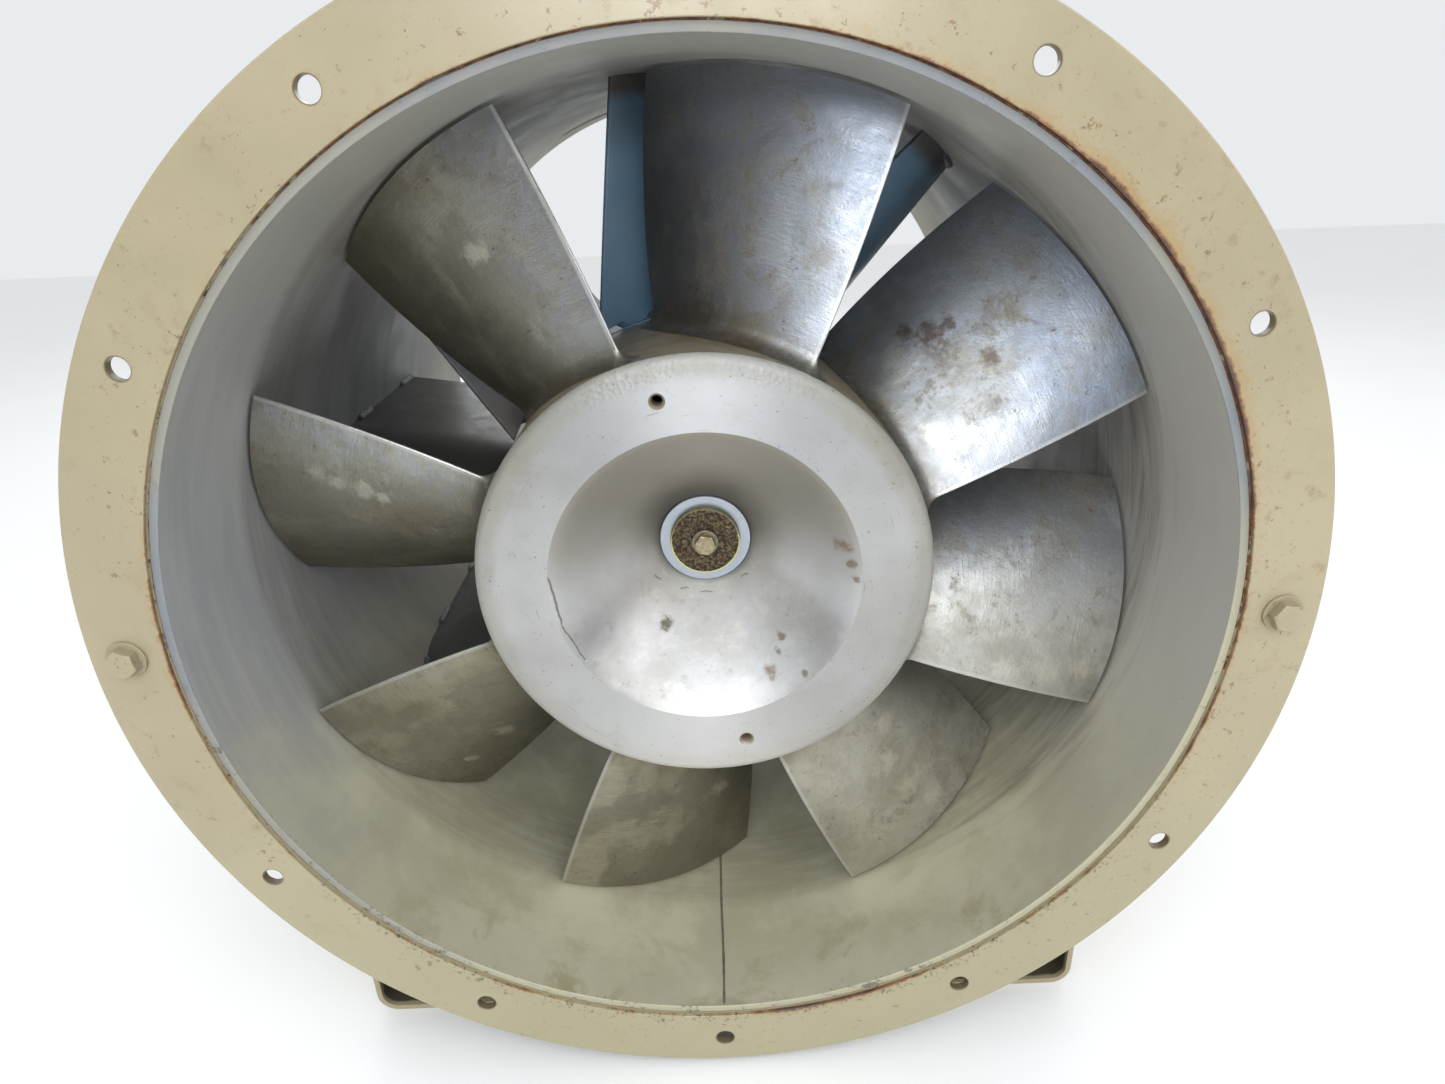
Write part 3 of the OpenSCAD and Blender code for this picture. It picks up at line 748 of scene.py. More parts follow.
def rim_look():
    """The tube's cut end: blue-grey paint, yellowed in patches and cream lower down, dark at its joint."""
    look = Look("tube_end_paint", specular=0.4)
    ragged = look.noise(60, 7, 0.7)
    look.base = look.blend(look.noise(30, 6), (0.150, 0.170, 0.190), (0.225, 0.235, 0.24))
    look.paint((0.27, 0.255, 0.20), look.band(look.noise(5, 5, 0.6), 0.38, 0.58), 0.7)
    look.paint((0.37, 0.35, 0.245), look.near(-62, 0.15, 0.60), look.band(ragged, 0.30, 0.50, 0.7, 1.0))
    chips = look.add(look.noise(85, 8, 0.75), look.near(-110, 0.1, 0.8, 0.0, 0.05))
    look.paint((0.10, 0.085, 0.075), look.band(chips, 0.60, 0.67), 0.8)
    joint = look.add(look.radius, look.times(ragged, 0.003))
    look.paint((0.06, 0.045, 0.05), look.band(joint, TUBE_R + 0.0002, TUBE_R + 0.0016))
    return look.finish(0.48, ragged, 0.3, 0.0012)


def rust_look():
    """The rusty joint round the tube's end, painted over in places at the bottom and left."""
    look = Look("joint_rust", specular=0.25)
    grain = look.noise(220, 8, 0.72)
    look.base = look.blend(look.band(grain, 0.35, 0.66), DARK_RUST, RUST)
    look.paint((0.12, 0.10, 0.10), look.band(look.noise(24, 5), 0.56, 0.66))
    lower = look.near(-75, -0.1, 0.7, 0.0, 0.24)
    left = look.near(172, 0.5, 0.95, 0.0, 0.17)
    painted = look.band(look.add(look.noise(95, 7, 0.7), lower, left), 0.58, 0.63)
    look.paint(shade(CREAM, 0.85), painted, 0.95)
    return look.finish(0.85, grain, 0.6, 0.0012)


def vane_look():
    """Blue enamel under a dull film, with painted shade: darker on the left and where a vane meets the
    casing.
    """
    look = enamel("vane_enamel", (0.125, 0.215, 0.31), (0.13, 0.14, 0.14), DARK_RUST, 0.01, dust=0.5)
    film = look.noise(8, 7, 0.6)
    look.paint((0.20, 0.23, 0.25), look.band(film, 0.45, 0.72, 0.0, 0.4))
    # Painted shade: the left-hand vanes and each vane's outer edge by the casing are darkened.
    left_shade = look.times(look.band(look.right, -0.35, -0.75), look.band(film, 0.25, 0.5, 0.7, 1.0))
    corner = look.band(look.add(look.radius, look.times(film, 0.012)), BORE_R - 0.016, BORE_R - 0.002)
    look.paint((0.085, 0.07, 0.055), look.math("MAXIMUM", left_shade, corner), 0.9)
    return look.finish()


def weld_look(name, colour):
    """Painted weld, with darker grain and spots of rust."""
    look = Look(name, specular=0.4)
    grain = look.noise(160, 6, 0.65)
    look.base = look.blend(look.band(grain, 0.4, 0.66), colour, shade(colour, 0.55))
    look.paint(RUST, look.band(look.noise(90, 5), 0.60, 0.68))
    return look.finish(0.55, grain, 0.35, 0.0008)


def hub_face_look():
    """Turned aluminium under a dull film: fine rings, a cream band at the edge, small marks."""
    look = Look("hub_turned_face", metallic=0.85, anisotropic=0.85)
    look.turned()
    radius = look.radius
    rings = look.noise(900, 3, place=look.vector(radius, 0.0, 0.0))
    small = look.noise(34, 8, 0.7)
    cloud = look.band(look.noise(7, 6, 0.6), 0.35, 0.7)
    look.base = look.blend(cloud, (0.450, 0.448, 0.445), (0.395, 0.388, 0.370))
    edge = look.band(look.add(radius, look.times(small, 0.010)), HUB_R - 0.017, HUB_R - 0.003)
    look.paint((0.40, 0.375, 0.295), edge, look.band(look.up, 0.1, 0.9, 0.35, 1.0), 0.8)
    # Painted reflection: a cooler, bluish tint over the top of the face.
    look.paint((0.33, 0.35, 0.38), look.band(look.up, 0.5, 0.95), 0.45)
    look.paint((0.36, 0.32, 0.25), look.band(small, 0.58, 0.72), 0.35)
    look.paint((0.14, 0.10, 0.08), look.band(look.noise(330, 4, 0.7), 0.655, 0.70), 0.75)
    scratch_place = look.vector(look.times(look.clock, 2.0), look.times(radius, 260.0), 0.0)
    scratches = look.noise(2.4, 3, 0.5, place=scratch_place)
    look.paint((0.24, 0.22, 0.19), look.band(scratches, 0.675, 0.715), 0.5)
    peened = look.times(look.band(radius, HUB_R - 0.022, HUB_R - 0.010), look.band(look.up, 0.70, 0.95))
    heights = look.weighted((rings, 0.10), (look.times(look.cells(300), peened), 1.2), (small, 0.4))
    roughness = look.add(look.band(small, 0.3, 0.75, 0.42, 0.52), look.times(edge, 0.1))
    return look.finish(roughness, heights, 0.30, 0.0007)


# Marks on the hub and blades are (radius, clock degrees, size), in metres
DISH_SPOT = (
    (0.0690, 239, 0.0065),
)
DISH_STAINS = (
    (0.0870, 313, 0.0042),
    (0.0930, 307, 0.0035),
    (0.1005, 299, 0.0068),
    (0.1135, 312, 0.0038),
    (0.1075, 13, 0.0075),
    (0.1120, 5, 0.0050),
    (0.1145, 359, 0.0045),
)
# Scratches run between two (radius, clock degrees) points; then come their width and wander
DISH_CRACK = (
    ((0.1185, 174), (0.1165, 196), 0.0011, 0.004),
    ((0.1165, 195), (0.116, 214), 0.0008, 0.004),
)
DISH_NICKS = (
    ((0.051, 210), (0.049, 219), 0.0008, 0.006),
    ((0.0475, 240), (0.0450, 250), 0.0008, 0.006),
    ((0.0455, 262), (0.0460, 276), 0.0007, 0.005),
    ((0.0440, 310), (0.0460, 320), 0.0008, 0.006),
)


def dish_look():
    """The turned dish: satin aluminium with brown stains, marks low down and a crack-like scratch."""
    look = Look("hub_turned_dish", metallic=0.88, anisotropic=0.75)
    look.turned()
    rings = look.noise(700, 3, place=look.vector(look.radius, 0.0, 0.0))
    cloud = look.noise(16, 7, 0.62)
    look.base = look.blend(look.band(cloud, 0.3, 0.7), (0.49, 0.49, 0.50), (0.42, 0.41, 0.39))
    # Painted shade: the upper dish is darkened.
    look.paint((0.235, 0.212, 0.165), look.band(look.up, -0.35, 0.7), 0.78)
    low_side = look.band(look.up, 0.0, -0.6)
    look.paint((0.62, 0.60, 0.57), look.band(look.noise(60, 8, 0.72), 0.50, 0.68), low_side, 0.4)
    look.paint((0.22, 0.20, 0.18), look.band(look.noise(95, 6, 0.7), 0.56, 0.70), low_side, 0.35)
    # Painted shade: deep in the dish, near the boss, the upper part is darker.
    deep = look.band(look.radius, 0.075, 0.042)
    look.paint((0.20, 0.185, 0.155), deep, look.band(look.up, -0.5, 0.3), 0.55)
    look.stains(DISH_STAINS, (0.20, 0.14, 0.095), 0.8)
    look.stains(DISH_SPOT, (0.11, 0.10, 0.06), 0.9)
    cracks = [look.scratch(*line) for line in DISH_CRACK]
    nicks = [look.times(look.scratch(*line), 0.6) for line in DISH_NICKS]
    cuts = look.chain("MAXIMUM", cracks + nicks)
    look.paint((0.11, 0.095, 0.07), cuts, 0.75)
    dents = look.times(look.band(look.noise(150, 5, 0.6), 0.4, 0.7), low_side)
    heights = look.weighted((rings, 0.07), (dents, 0.22), (cuts, -1.2))
    return look.finish(look.band(cloud, 0.3, 0.7, 0.33, 0.42), heights, 0.30, 0.0009)


BLADE_RUST = (
    (0.244, 43.0, 0.0130),
    (0.258, 42.0, 0.0085),
    (0.268, 34.5, 0.0090),
    (0.232, 45.5, 0.0085),
)
BLADE_OIL = (
    (0.250, 37.0, 0.0220),
    (0.272, 33.5, 0.0190),
    (0.330, 41.0, 0.0150),
    (0.298, 37.5, 0.0130),
    (0.184, 78.0, 0.0220),
    (0.190, 88.0, 0.0180),
)
# Patches worn pale by hand
BLADE_WORN = (
    (0.306, 163.5, 0.0100),
    (0.290, 164.5, 0.0085),
    (0.270, 165.0, 0.0110),
    (0.255, 166.0, 0.0080),
    (0.266, 223.5, 0.0100),
    (0.314, 223.5, 0.0080),
    (0.266, -89.5, 0.0110),
    (0.284, 122.0, 0.0120),
    (0.302, -53.5, 0.0170),
    (0.268, -54.5, 0.0150),
    (0.332, -52.5, 0.0120),
    (0.240, -50.0, 0.0120),
    (0.304, -22.0, 0.0160),
    (0.268, -23.0, 0.0150),
    (0.334, -20.0, 0.0130),
    (0.202, 29.0, 0.0130),
)


# V at a blade's root; above zero, so the part inside the hub's wall keeps to its own blade's units
BLADE_V_START = 0.5


def blade_look():
    """Cast blades, dull and stained, with brighter patches where they were ground by hand.

    U runs along the chord from the leading edge; V is the share of the span, half a unit up, plus
    two for each blade."""
    look = Look("blade_cast_aluminium", metallic=0.86)
    chord, along, _ = look.split(look.uv)
    span = look.add(look.math("MODULO", along, 2.0), -BLADE_V_START)
    cloud = look.noise(7, 6, 0.6)
    grain = look.noise(75, 9, 0.74)
    patch_place = look.vector(look.times(chord, 1.5), along, 0.0)
    stroke_place = look.vector(look.times(chord, 9.0), look.times(along, 48.0), look.times(cloud, 3.0))
    line_place = look.vector(look.times(chord, 7.0), look.times(along, 190.0), 0.0)
    strokes = look.noise(1.0, 6, 0.68, place=stroke_place)
    lines = look.noise(1.0, 4, 0.6, place=line_place)
    ground = look.band(look.add(
        look.noise(2.6, 3, 0.5, place=patch_place),
        look.band(chord, 0.55, 0.05, 0.0, 0.085),
        look.centred(strokes, 0.16),
        look.centred(grain, 0.10),
    ), 0.505, 0.63)

    # Partly painted light: the upper-right blades are painted a paler, cooler film and the others an oily
    # olive film.
    clean_and_lit = look.near(32, -0.05, 0.6)
    shading = look.band(cloud, 0.35, 0.66)
    lit_clean_film = look.blend(shading, (0.30, 0.325, 0.365), (0.385, 0.40, 0.43))
    oily_film = look.blend(shading, (0.25, 0.235, 0.185), (0.36, 0.345, 0.285))
    look.base = look.blend(clean_and_lit, oily_film, lit_clean_film)
    look.paint((0.22, 0.205, 0.165), look.band(grain, 0.40, 0.70, 0.0, 0.5))
    line_share = look.band(lines, 0.32, 0.66)
    clean_bright = look.blend(line_share, (0.43, 0.44, 0.46), (0.58, 0.59, 0.61))
    tan_bright = look.blend(line_share, (0.41, 0.385, 0.30), (0.55, 0.53, 0.44))
    look.paint(look.blend(clean_and_lit, tan_bright, clean_bright), ground, 0.55)
    look.paint((0.17, 0.155, 0.105), look.band(chord, 0.40, 0.95, 0.0, 0.5), look.band(clean_and_lit, 0.6, 0.2))
    # Partly painted light: a paler tan over the lower-right blade, where it is wiped.
    look.paint((0.66, 0.645, 0.58), look.near(-38, 0.80, 0.95), 0.6)

    high_up = look.band(look.up, 0.05, 0.45)
    # Painted highlight: a bluish sheen along the leading edges of the upper blades.
    look.paint((0.40, 0.46, 0.56), high_up, look.band(chord, 0.40, 0.03), look.band(grain, 0.36, 0.60), 0.5)
    # Painted reflection: sky blue over the outer part of the upper blades.
    outer = look.band(look.add(span, look.times(cloud, 0.7)), 0.60, 1.15)
    look.paint((0.27, 0.34, 0.47), high_up, clean_and_lit, outer, 0.5)
    # Painted shade: the top blade is darkened.
    look.paint((0.15, 0.15, 0.155), look.near(95, 0.86, 0.97), 0.58)

    look.paint((0.25, 0.222, 0.15), look.band(look.noise(12, 8, 0.7, 0.5), 0.44, 0.70, 0.0, 0.5))
    spotty = look.noise(30, 9, 0.76, 0.4)
    stained = look.times(
        look.band(look.add(spotty, look.times(cloud, 0.45)), 0.73, 0.85),
        look.band(chord, 0.04, 0.30, 0.35, 1.0),
    )
    look.paint((0.19, 0.16, 0.11), stained, 0.5)
    pits = look.band(look.noise(210, 6, 0.78), 0.57, 0.66)
    look.paint((0.085, 0.055, 0.045), pits, look.band(spotty, 0.42, 0.6), 0.75)
    look.stains(BLADE_WORN, (0.72, 0.69, 0.59), 0.47)
    look.stains(BLADE_OIL, (0.21, 0.18, 0.11), 0.42)
    look.stains(BLADE_RUST, (0.11, 0.075, 0.06), 0.8)
    look.paint((0.62, 0.62, 0.61), look.band(chord, 0.012, 0.003), 0.5)
    root = look.band(look.add(span, look.times(grain, 0.14)), 0.24, 0.06)
    look.paint((0.15, 0.12, 0.07), root, look.band(grain, 0.35, 0.62, 0.3, 0.85))

    roughness = look.add(
        look.band(grain, 0.3, 0.75, 0.36, 0.52), look.times(stained, 0.15), look.times(ground, -0.04),
    )
    heights = look.weighted(
        (look.times(lines, ground), 0.30),
        (look.times(strokes, ground), 0.35),
        (look.noise(190, 5, 0.65), 0.45),
        (look.noise(620, 2), 0.30),
        (look.noise(20, 3), 1.4),
    )
    return look.finish(roughness, heights, 0.34, 0.0012)


def casting_look():
    """The hub's rough cylinder between the blades: brown film over grey casting skin."""
    look = Look("hub_cast_side", metallic=0.55)
    grain = look.noise(170, 6, 0.68)
    cloud = look.noise(18, 7, 0.62)
    look.base = look.blend(look.band(cloud, 0.36, 0.64), (0.36, 0.32, 0.235), (0.22, 0.175, 0.11))
    look.paint((0.27, 0.25, 0.22), look.band(grain, 0.55, 0.72))
    return look.finish(look.band(cloud, 0.3, 0.7, 0.42, 0.62), grain, 0.4, 0.0012)


def boss_look():
    """The bright machined ring round the end washer."""
    look = Look("hub_boss_face", metallic=0.9, anisotropic=0.4)
    rings = look.noise(1500, 2, place=look.vector(look.radius, 0.0, 0.0))
    look.base = look.blend(look.noise(60, 6), (0.30, 0.335, 0.38), (0.40, 0.43, 0.465))
    return look.finish(0.34, rings, 0.15, 0.0004)


def washer_look():
    """Yellow zinc eaten through in brown and olive mottle, with a painted highlight round its edge,
    strongest low down, and painted shade on its side higher up.
    """
    look = Look("tarnished_yellow_zinc", metallic=0.6)
    radius = look.radius
    mottle = look.noise(330, 8, 0.74, 0.5)
    look.base = look.blend(look.band(mottle, 0.47, 0.57), (0.030, 0.018, 0.013), (0.13, 0.098, 0.048))
    look.paint((0.36, 0.31, 0.18), look.band(look.noise(150, 7, 0.72), 0.60, 0.68, 0.0, 0.8))
    look.paint((0.028, 0.018, 0.014), look.band(look.noise(480, 4, 0.7), 0.60, 0.66), 0.8)
    lower = look.band(look.up, 0.55, -0.35)
    # Painted highlight: a bright ring round the edge, strongest low down.
    edge = look.band(radius, WASHER_R - 0.0016, WASHER_R - 0.0010)
    look.paint((0.62, 0.62, 0.26), edge, look.add(look.times(lower, 0.75), 0.2))
    # Painted shade: the washer's side is dark except at the bottom.
    side = look.band(radius, WASHER_R - 0.0004, WASHER_R - 0.0001)
    look.paint((0.16, 0.15, 0.075), side, look.band(lower, 0.9, 0.4))
    return look.finish(look.band(mottle, 0.35, 0.7, 0.60, 0.36), mottle, 0.4, 0.0006)


def bolt_paint_look():
    """The same cream paint brushed over the bolts: chipped to rust, browner down the sides with dirt and
    painted shade.
    """
    look = enamel("bolt_enamel", chip_amount=0.03)
    look.paint((0.42, 0.38, 0.27), 0.35)
    look.paint((0.15, 0.085, 0.04), look.band(look.noise(150, 8, 0.75), 0.585, 0.64, 0.0, 0.8))
    # Dirt and painted shade: browner down the sides of the heads, towards the flange.
    look.paint((0.16, 0.12, 0.07), look.band(look.station, -0.0125, -0.0085), 0.35)
    return look.finish()


def zinc_look():
    """Yellow zinc plating gone dull."""
    look = Look("dull_yellow_zinc", metallic=0.7)
    cloud = look.noise(240, 6, 0.68)
    look.base = look.blend(look.band(cloud, 0.36, 0.66), (0.24, 0.20, 0.12), (0.36, 0.31, 0.20))
    return look.finish(look.band(cloud, 0.3, 0.7, 0.52, 0.36), cloud, 0.15, 0.0004)


def steel_look(name, colour, roughness=0.4, scale=260):
    """Bare or coated metal with a cloudy surface."""
    look = Look(name, metallic=0.9)
    cloud = look.noise(scale, 6, 0.66)
    look.base = look.blend(look.band(cloud, 0.36, 0.68), shade(colour, 0.62), colour)
    return look.finish(look.band(cloud, 0.3, 0.7, roughness + 0.14, roughness - 0.06), cloud, 0.15, 0.0005)


def soft_look(name, colour, roughness, scale):
    """Rubber, nylon and varnish: dark, fine-grained."""
    look = Look(name, specular=0.4)
    grain = look.noise(scale, 5, 0.6)
    paler = tuple(c * 1.8 + 0.01 for c in colour)
    look.base = look.blend(look.band(grain, 0.4, 0.75), colour, paler)
    return look.finish(look.band(grain, 0.3, 0.7, roughness - 0.08, roughness + 0.08), grain, 0.25, 0.0005)


def table_look():
    look = Look("pale_table", specular=0.4)
    look.base = look.blend(look.noise(3, 5), (0.86, 0.86, 0.85), (0.90, 0.90, 0.895))
    return look.finish(0.42)


LOOKS = {
    "flange": flange_look(),
    "bolt_paint": bolt_paint_look(),
    "outside": enamel("casing_outside_enamel").finish(),
    "saddle": saddle_look(),
    "bore": casing_look(),
    "rim": rim_look(),
    "rust": rust_look(),
    "vane": vane_look(),
    "vane_weld": weld_look("vane_weld_paint", (0.10, 0.115, 0.13)),
    "cream_weld": weld_look("cream_weld_paint", CREAM),
    "seam_weld": weld_look("seam_weld_paint", (0.13, 0.125, 0.085)),
    "hub_face": hub_face_look(),
    "dish": dish_look(),
    "blade": blade_look(),
    "casting": casting_look(),
    "boss": boss_look(),
    "washer": washer_look(),
    "zinc": zinc_look(),
    "steel": steel_look("machined_steel", (0.60, 0.60, 0.60)),
    "galvanised": steel_look("galvanised_steel", (0.55, 0.57, 0.59), 0.45, 60),
    "worn_steel": steel_look("worn_brown_steel", (0.30, 0.26, 0.19), 0.45),
    "dark_steel": steel_look("oxidised_steel", (0.12, 0.12, 0.13), 0.5),
    "core": soft_look("varnished_core", (0.05, 0.045, 0.04), 0.5, 300),
    "copper": steel_look("varnished_copper", (0.45, 0.19, 0.08)),
    "motor": enamel("motor_enamel", (0.085, 0.105, 0.12), (0.11, 0.10, 0.08), DARK_RUST, dust=0.5).finish(),
    "rubber": soft_look("black_rubber", (0.02, 0.02, 0.02), 0.75, 400),
    "nylon": soft_look("black_nylon", (0.03, 0.03, 0.032), 0.5, 500),
    "table": table_look(),
}

# ---------------------------------------------------------------- casing


def make_casing_tube():
    bore, outside, rim = range(3)
    outline = ring_section(BORE_R, TUBE_R, TUBE_FROM, TUBE_TO, [0.8 * MM] * 4, steps=3)
    slots = []
    for (r0, s0), (r1, s1) in zip(outline, outline[1:] + outline[:1]):
        if abs(s1 - s0) < (TUBE_TO - TUBE_FROM) / 2:
            slots.append(rim)
        else:
            slots.append(bore if (r0 + r1) / 2 < TUBE_R - TUBE_WALL / 2 else outside)
    mesh = lathe("casing_shell", outline, segments=360, slots=slots)
    piece(mesh, "casing", ["bore", "outside", "rim"], ["casing_tube"])


def seam_bead(name, radius, way, width, height):
    """The tube's lengthwise weld, at the bottom; way is 1 outside the tube and -1 inside it."""
    steps = 420
    trim = 2 * MM
    drift = 1.2 * MM
    path = []
    for k in range(steps + 1):
        station = mix(TUBE_FROM + trim, TUBE_TO - trim, k / steps)
        sideways = drift * noise.noise(Vector((station * 9, 3.1, way)))
        path.append(fan_point(radius, -math.pi / 2 + sideways / radius, station))
    rises = [Vector((0, 0, -way))] * len(path)
    return bead(name, path, rises, width, height, ripple=3.1 * MM, seed=way)


def make_seams():
    inside = seam_bead("casing_seam_inside", BORE_R, -1, 2.2 * MM, 0.45 * MM)
    piece(inside, "casing", ["seam_weld"])
    outside = seam_bead("casing_seam_outside", TUBE_R, 1, 8 * MM, 1.4 * MM)
    piece(outside, "casing", ["cream_weld"])


def bolt_hole_cutter(clock):
    """A round cutter for one flange hole, whose ends flare so the hole has softened edges."""
    flare = 0.5 * MM
    soft = 0.9 * MM
    overshoot = 2 * MM
    front = [
        (0.0, -overshoot),
        (BOLT_HOLE_R + flare, -overshoot),
        (BOLT_HOLE_R + flare, -0.01 * MM),
        (BOLT_HOLE_R + flare * 0.30, soft * 0.35),
        (BOLT_HOLE_R, soft),
    ]
    back = [(radius, FLANGE_T - station) for radius, station in reversed(front)]
    spot = fan_point(BOLT_CIRCLE_R, clock, 0)
    return lathe("hole_cutter", front + back, segments=40, closed=False, centre=spot)


def flange_mesh(name):
    """An angle ring: the drilled face, and a leg along the tube behind it."""
    edge = 1.0 * MM
    outline = rounded([
        (FLANGE_BORE_R, 0.0, 0.7 * MM),
        (FLANGE_R, 0.0, edge),
        (FLANGE_R, FLANGE_T, edge),
        (FLANGE_BORE_R + FLANGE_T, FLANGE_T, 4 * MM),
        (FLANGE_BORE_R + FLANGE_T, FLANGE_LEG, edge),
        (FLANGE_BORE_R, FLANGE_LEG, edge),
    ])
    cutters = [bolt_hole_cutter(FULL_TURN * k / BOLT_COUNT) for k in range(BOLT_COUNT)]
    return cut(lathe(name, outline, segments=360), cutters)


def make_flanges():
    inlet = flange_mesh("inlet_flange_ring")
    piece(inlet, "casing", ["flange"], ["inlet_flange"])
    outlet = flange_mesh("outlet_flange_ring")
    outlet.transform(Matrix.Translation((0, INLET_Y + OUTLET_Y, 0)) @ Matrix.Diagonal((1, -1, 1, 1)))
    outlet.flip_normals()
    piece(outlet, "casing", ["flange"], ["outlet_flange"])


def make_joint_beads():
    """The rusty, uneven fillets between the tube's ends and the flanges."""
    steps = 900
    for name, station, way in (("inlet_joint", TUBE_FROM, 1), ("outlet_joint", TUBE_TO, -1)):
        path = []
        for k in range(steps + 1):
            clock = FULL_TURN * k / steps
            uneven = noise.noise(Vector((3 * math.cos(clock), 3 * math.sin(clock), way)))
            radius = TUBE_R + 0.1 * MM + 0.35 * MM * uneven
            path.append(fan_point(radius, clock, station - 0.1 * MM * way))
        rises = [Vector((0, -way, 0))] * len(path)
        run = bead(name, path, rises, 1.7 * MM, 0.9 * MM, ripple=7 * MM, seed=way)
        piece(run, "casing", ["rust"])


def make_flange_welds():
    """Stitch welds between the tube and the back of each flange."""
    stitches = 12
    half_sweep = 0.11
    half_steps = 30
    runs = []
    for station in (FLANGE_LEG, LENGTH - FLANGE_LEG):
        for stitch in range(stitches):
            middle = FULL_TURN * (stitch + 0.5) / stitches
            path = [
                fan_point(TUBE_R + 1.2 * MM, middle + half_sweep * k / half_steps, station)
                for k in range(-half_steps, half_steps + 1)
            ]
            rises = [outward(point) for point in path]
            runs.append(bead("stitch", path, rises, 7 * MM, 2.2 * MM, seed=stitch))
    piece(joined("flange_stitch_welds", runs), "casing", ["cream_weld"])


def make_barrel():
    outline = ring_section(BARREL_R - BARREL_T, BARREL_R, BARREL_FROM, BARREL_TO, [0.7 * MM] * 4, steps=3)
    piece(lathe("motor_barrel", outline), "casing", ["vane"], ["inner_barrel"])


# ---------------------------------------------------------------- guide vanes

VANE_COUNT = sum(name.startswith("guide_vane_") for name in NODES)
VANE_FIRST = math.radians(11)
VANE_T = 5 * MM
VANE_BEND = 150 * MM
VANE_SIDE_IN = 78 * MM
VANE_SIDE_OUT = 50 * MM
VANE_FROM = low("guide_vane_3", "y") - INLET_Y + VANE_T / 2
VANE_TO = high("guide_vane_3", "y") - INLET_Y
VANE_HUB_GAP = 6 * MM
VANE_STEPS = 48
VANE_ROWS = 12
VANE_NOSE_STEPS = 4
VANE_NOSE_REACH = 0.8
VANE_WELD_SPANS = ((0.13, 0.25), (0.44, 0.56), (0.86, 1.0))
VANE_WELD_STEPS = 40


def vane_line(t, radius):
    """The middle of a vane's plate: (sideways offset, station, direction) for t from 0 to 1.

    The leading edge stands farther to the side at the barrel than at the casing."""
    side = mix(VANE_SIDE_IN, VANE_SIDE_OUT, (radius - BARREL_R) / (BORE_R - BARREL_R))
    full_turn = math.acos(1 - side / VANE_BEND)
    straight_from = VANE_FROM + VANE_BEND * math.sin(full_turn)
    arc = VANE_BEND * full_turn
    run = t * (arc + VANE_TO - straight_from)
    if run < arc:
        turn = full_turn - run / VANE_BEND
        return (
            VANE_BEND * (1 - math.cos(turn)),
            straight_from - VANE_BEND * math.sin(turn),
            turn,
        )
    return 0.0, straight_from + run - arc, 0.0


def vane_point(clock, offset, station, radius):
    """A point at a distance from the axis, on a plate that lies offset sideways from its clock angle."""
    return fan_point(radius, clock + math.asin(offset / radius), station)


def vane_section(radius):
    """The plate's outline: (offset, station) pairs along both sides and round its leading edge."""
    half = VANE_T / 2
    sides = {1: [], -1: []}
    for k in range(VANE_STEPS + 1):
        offset, station, turn = vane_line(k / VANE_STEPS, radius)
        for side in sides:
            sides[side].append((
                offset + side * half * math.cos(turn),
                station + side * half * math.sin(turn),
            ))
    offset, station, turn = vane_line(0, radius)
    nose = []
    for k in range(1, VANE_NOSE_STEPS):
        a = math.pi * k / VANE_NOSE_STEPS
        across = half * math.cos(a)
        ahead = half * VANE_NOSE_REACH * math.sin(a)
        nose.append((
            offset - across * math.cos(turn) + ahead * math.sin(turn),
            station - across * math.sin(turn) - ahead * math.cos(turn),
        ))
    return sides[1] + sides[-1][::-1] + nose


def make_vane(number, clock):
    """One plate, welded in between the barrel and the casing; ahead of the barrel it clears the hub."""
    rings = []
    for row in range(VANE_ROWS + 1):
        share = row / VANE_ROWS
        ring = []
        for offset, station in vane_section(mix(BARREL_R, BORE_R, share)):
            ahead = min(1.0, max(0.0, (BARREL_FROM - station) / (3 * MM) + 0.5))
            inner = BARREL_R + VANE_HUB_GAP * ahead
            ring.append(vane_point(clock, offset, station, mix(inner, BORE_R, share)))
        rings.append(ring)
    verts, faces = loft(rings)
    count = len(rings[0])
    for first in (0, VANE_ROWS * count):
        faces += section_cap(first, VANE_STEPS, 0, count)
    mesh = mesh_from(f"straightening_vane_{number}", verts, faces, sharp_deg=50)
    piece(mesh, "casing", ["vane"], [f"guide_vane_{number}"])


def vane_weld(clock, side, start, end, radius, seed):
    """A weld run on one side of a vane, where it meets the casing or the barrel."""
    way = -1 if radius == BORE_R else 1
    reach = VANE_T / 2 + 1.0 * MM
    path = []
    for k in range(VANE_WELD_STEPS + 1):
        offset, station, turn = vane_line(mix(start, end, k / VANE_WELD_STEPS), radius)
        path.append(vane_point(
            clock,
            offset + side * reach * math.cos(turn),
            station + side * reach * math.sin(turn),
            radius + way * 1.2 * MM,
        ))
    rises = []
    for point in path:
        out = outward(point)
        rises.append(out * way + Vector((-out.z, 0, out.x)) * side)
    return bead("vane_weld", path, rises, 7 * MM, 2.4 * MM, ripple=3 * MM, seed=seed)


def make_vanes():
    runs = []
    for number in range(1, VANE_COUNT + 1):
        clock = VANE_FIRST + (number - 1) * FULL_TURN / VANE_COUNT
        make_vane(number, clock)
        for side in (1, -1):
            for start, end in VANE_WELD_SPANS:
                runs.append(vane_weld(clock, side, start, end, BORE_R, number * 3.7 + side))
                runs.append(vane_weld(clock, side, start, end, BARREL_R, number * 5.1 + side))
    piece(joined("vane_stitch_welds", runs), "casing", ["vane_weld"])


# ---------------------------------------------------------------- saddles

SADDLE_GAP = 0.3 * MM
SADDLE_STITCHES = 5
SADDLE_STITCH_SWEEP = 0.17
SADDLE_STITCH_STEPS = 40
FOOT_DRILL = 30 * MM


def casing_underside(x):
    """Height of the casing's underside at x, with the fitting gap."""
    return AXIS_Z - math.sqrt((TUBE_R + SADDLE_GAP) ** 2 - x * x)


def upright(y):
    """Places a plate drawn in XY upright across the fan, with its middle at y."""
    return Matrix.Translation((0, y, 0)) @ Matrix.Rotation(math.pi / 2, 4, "X")


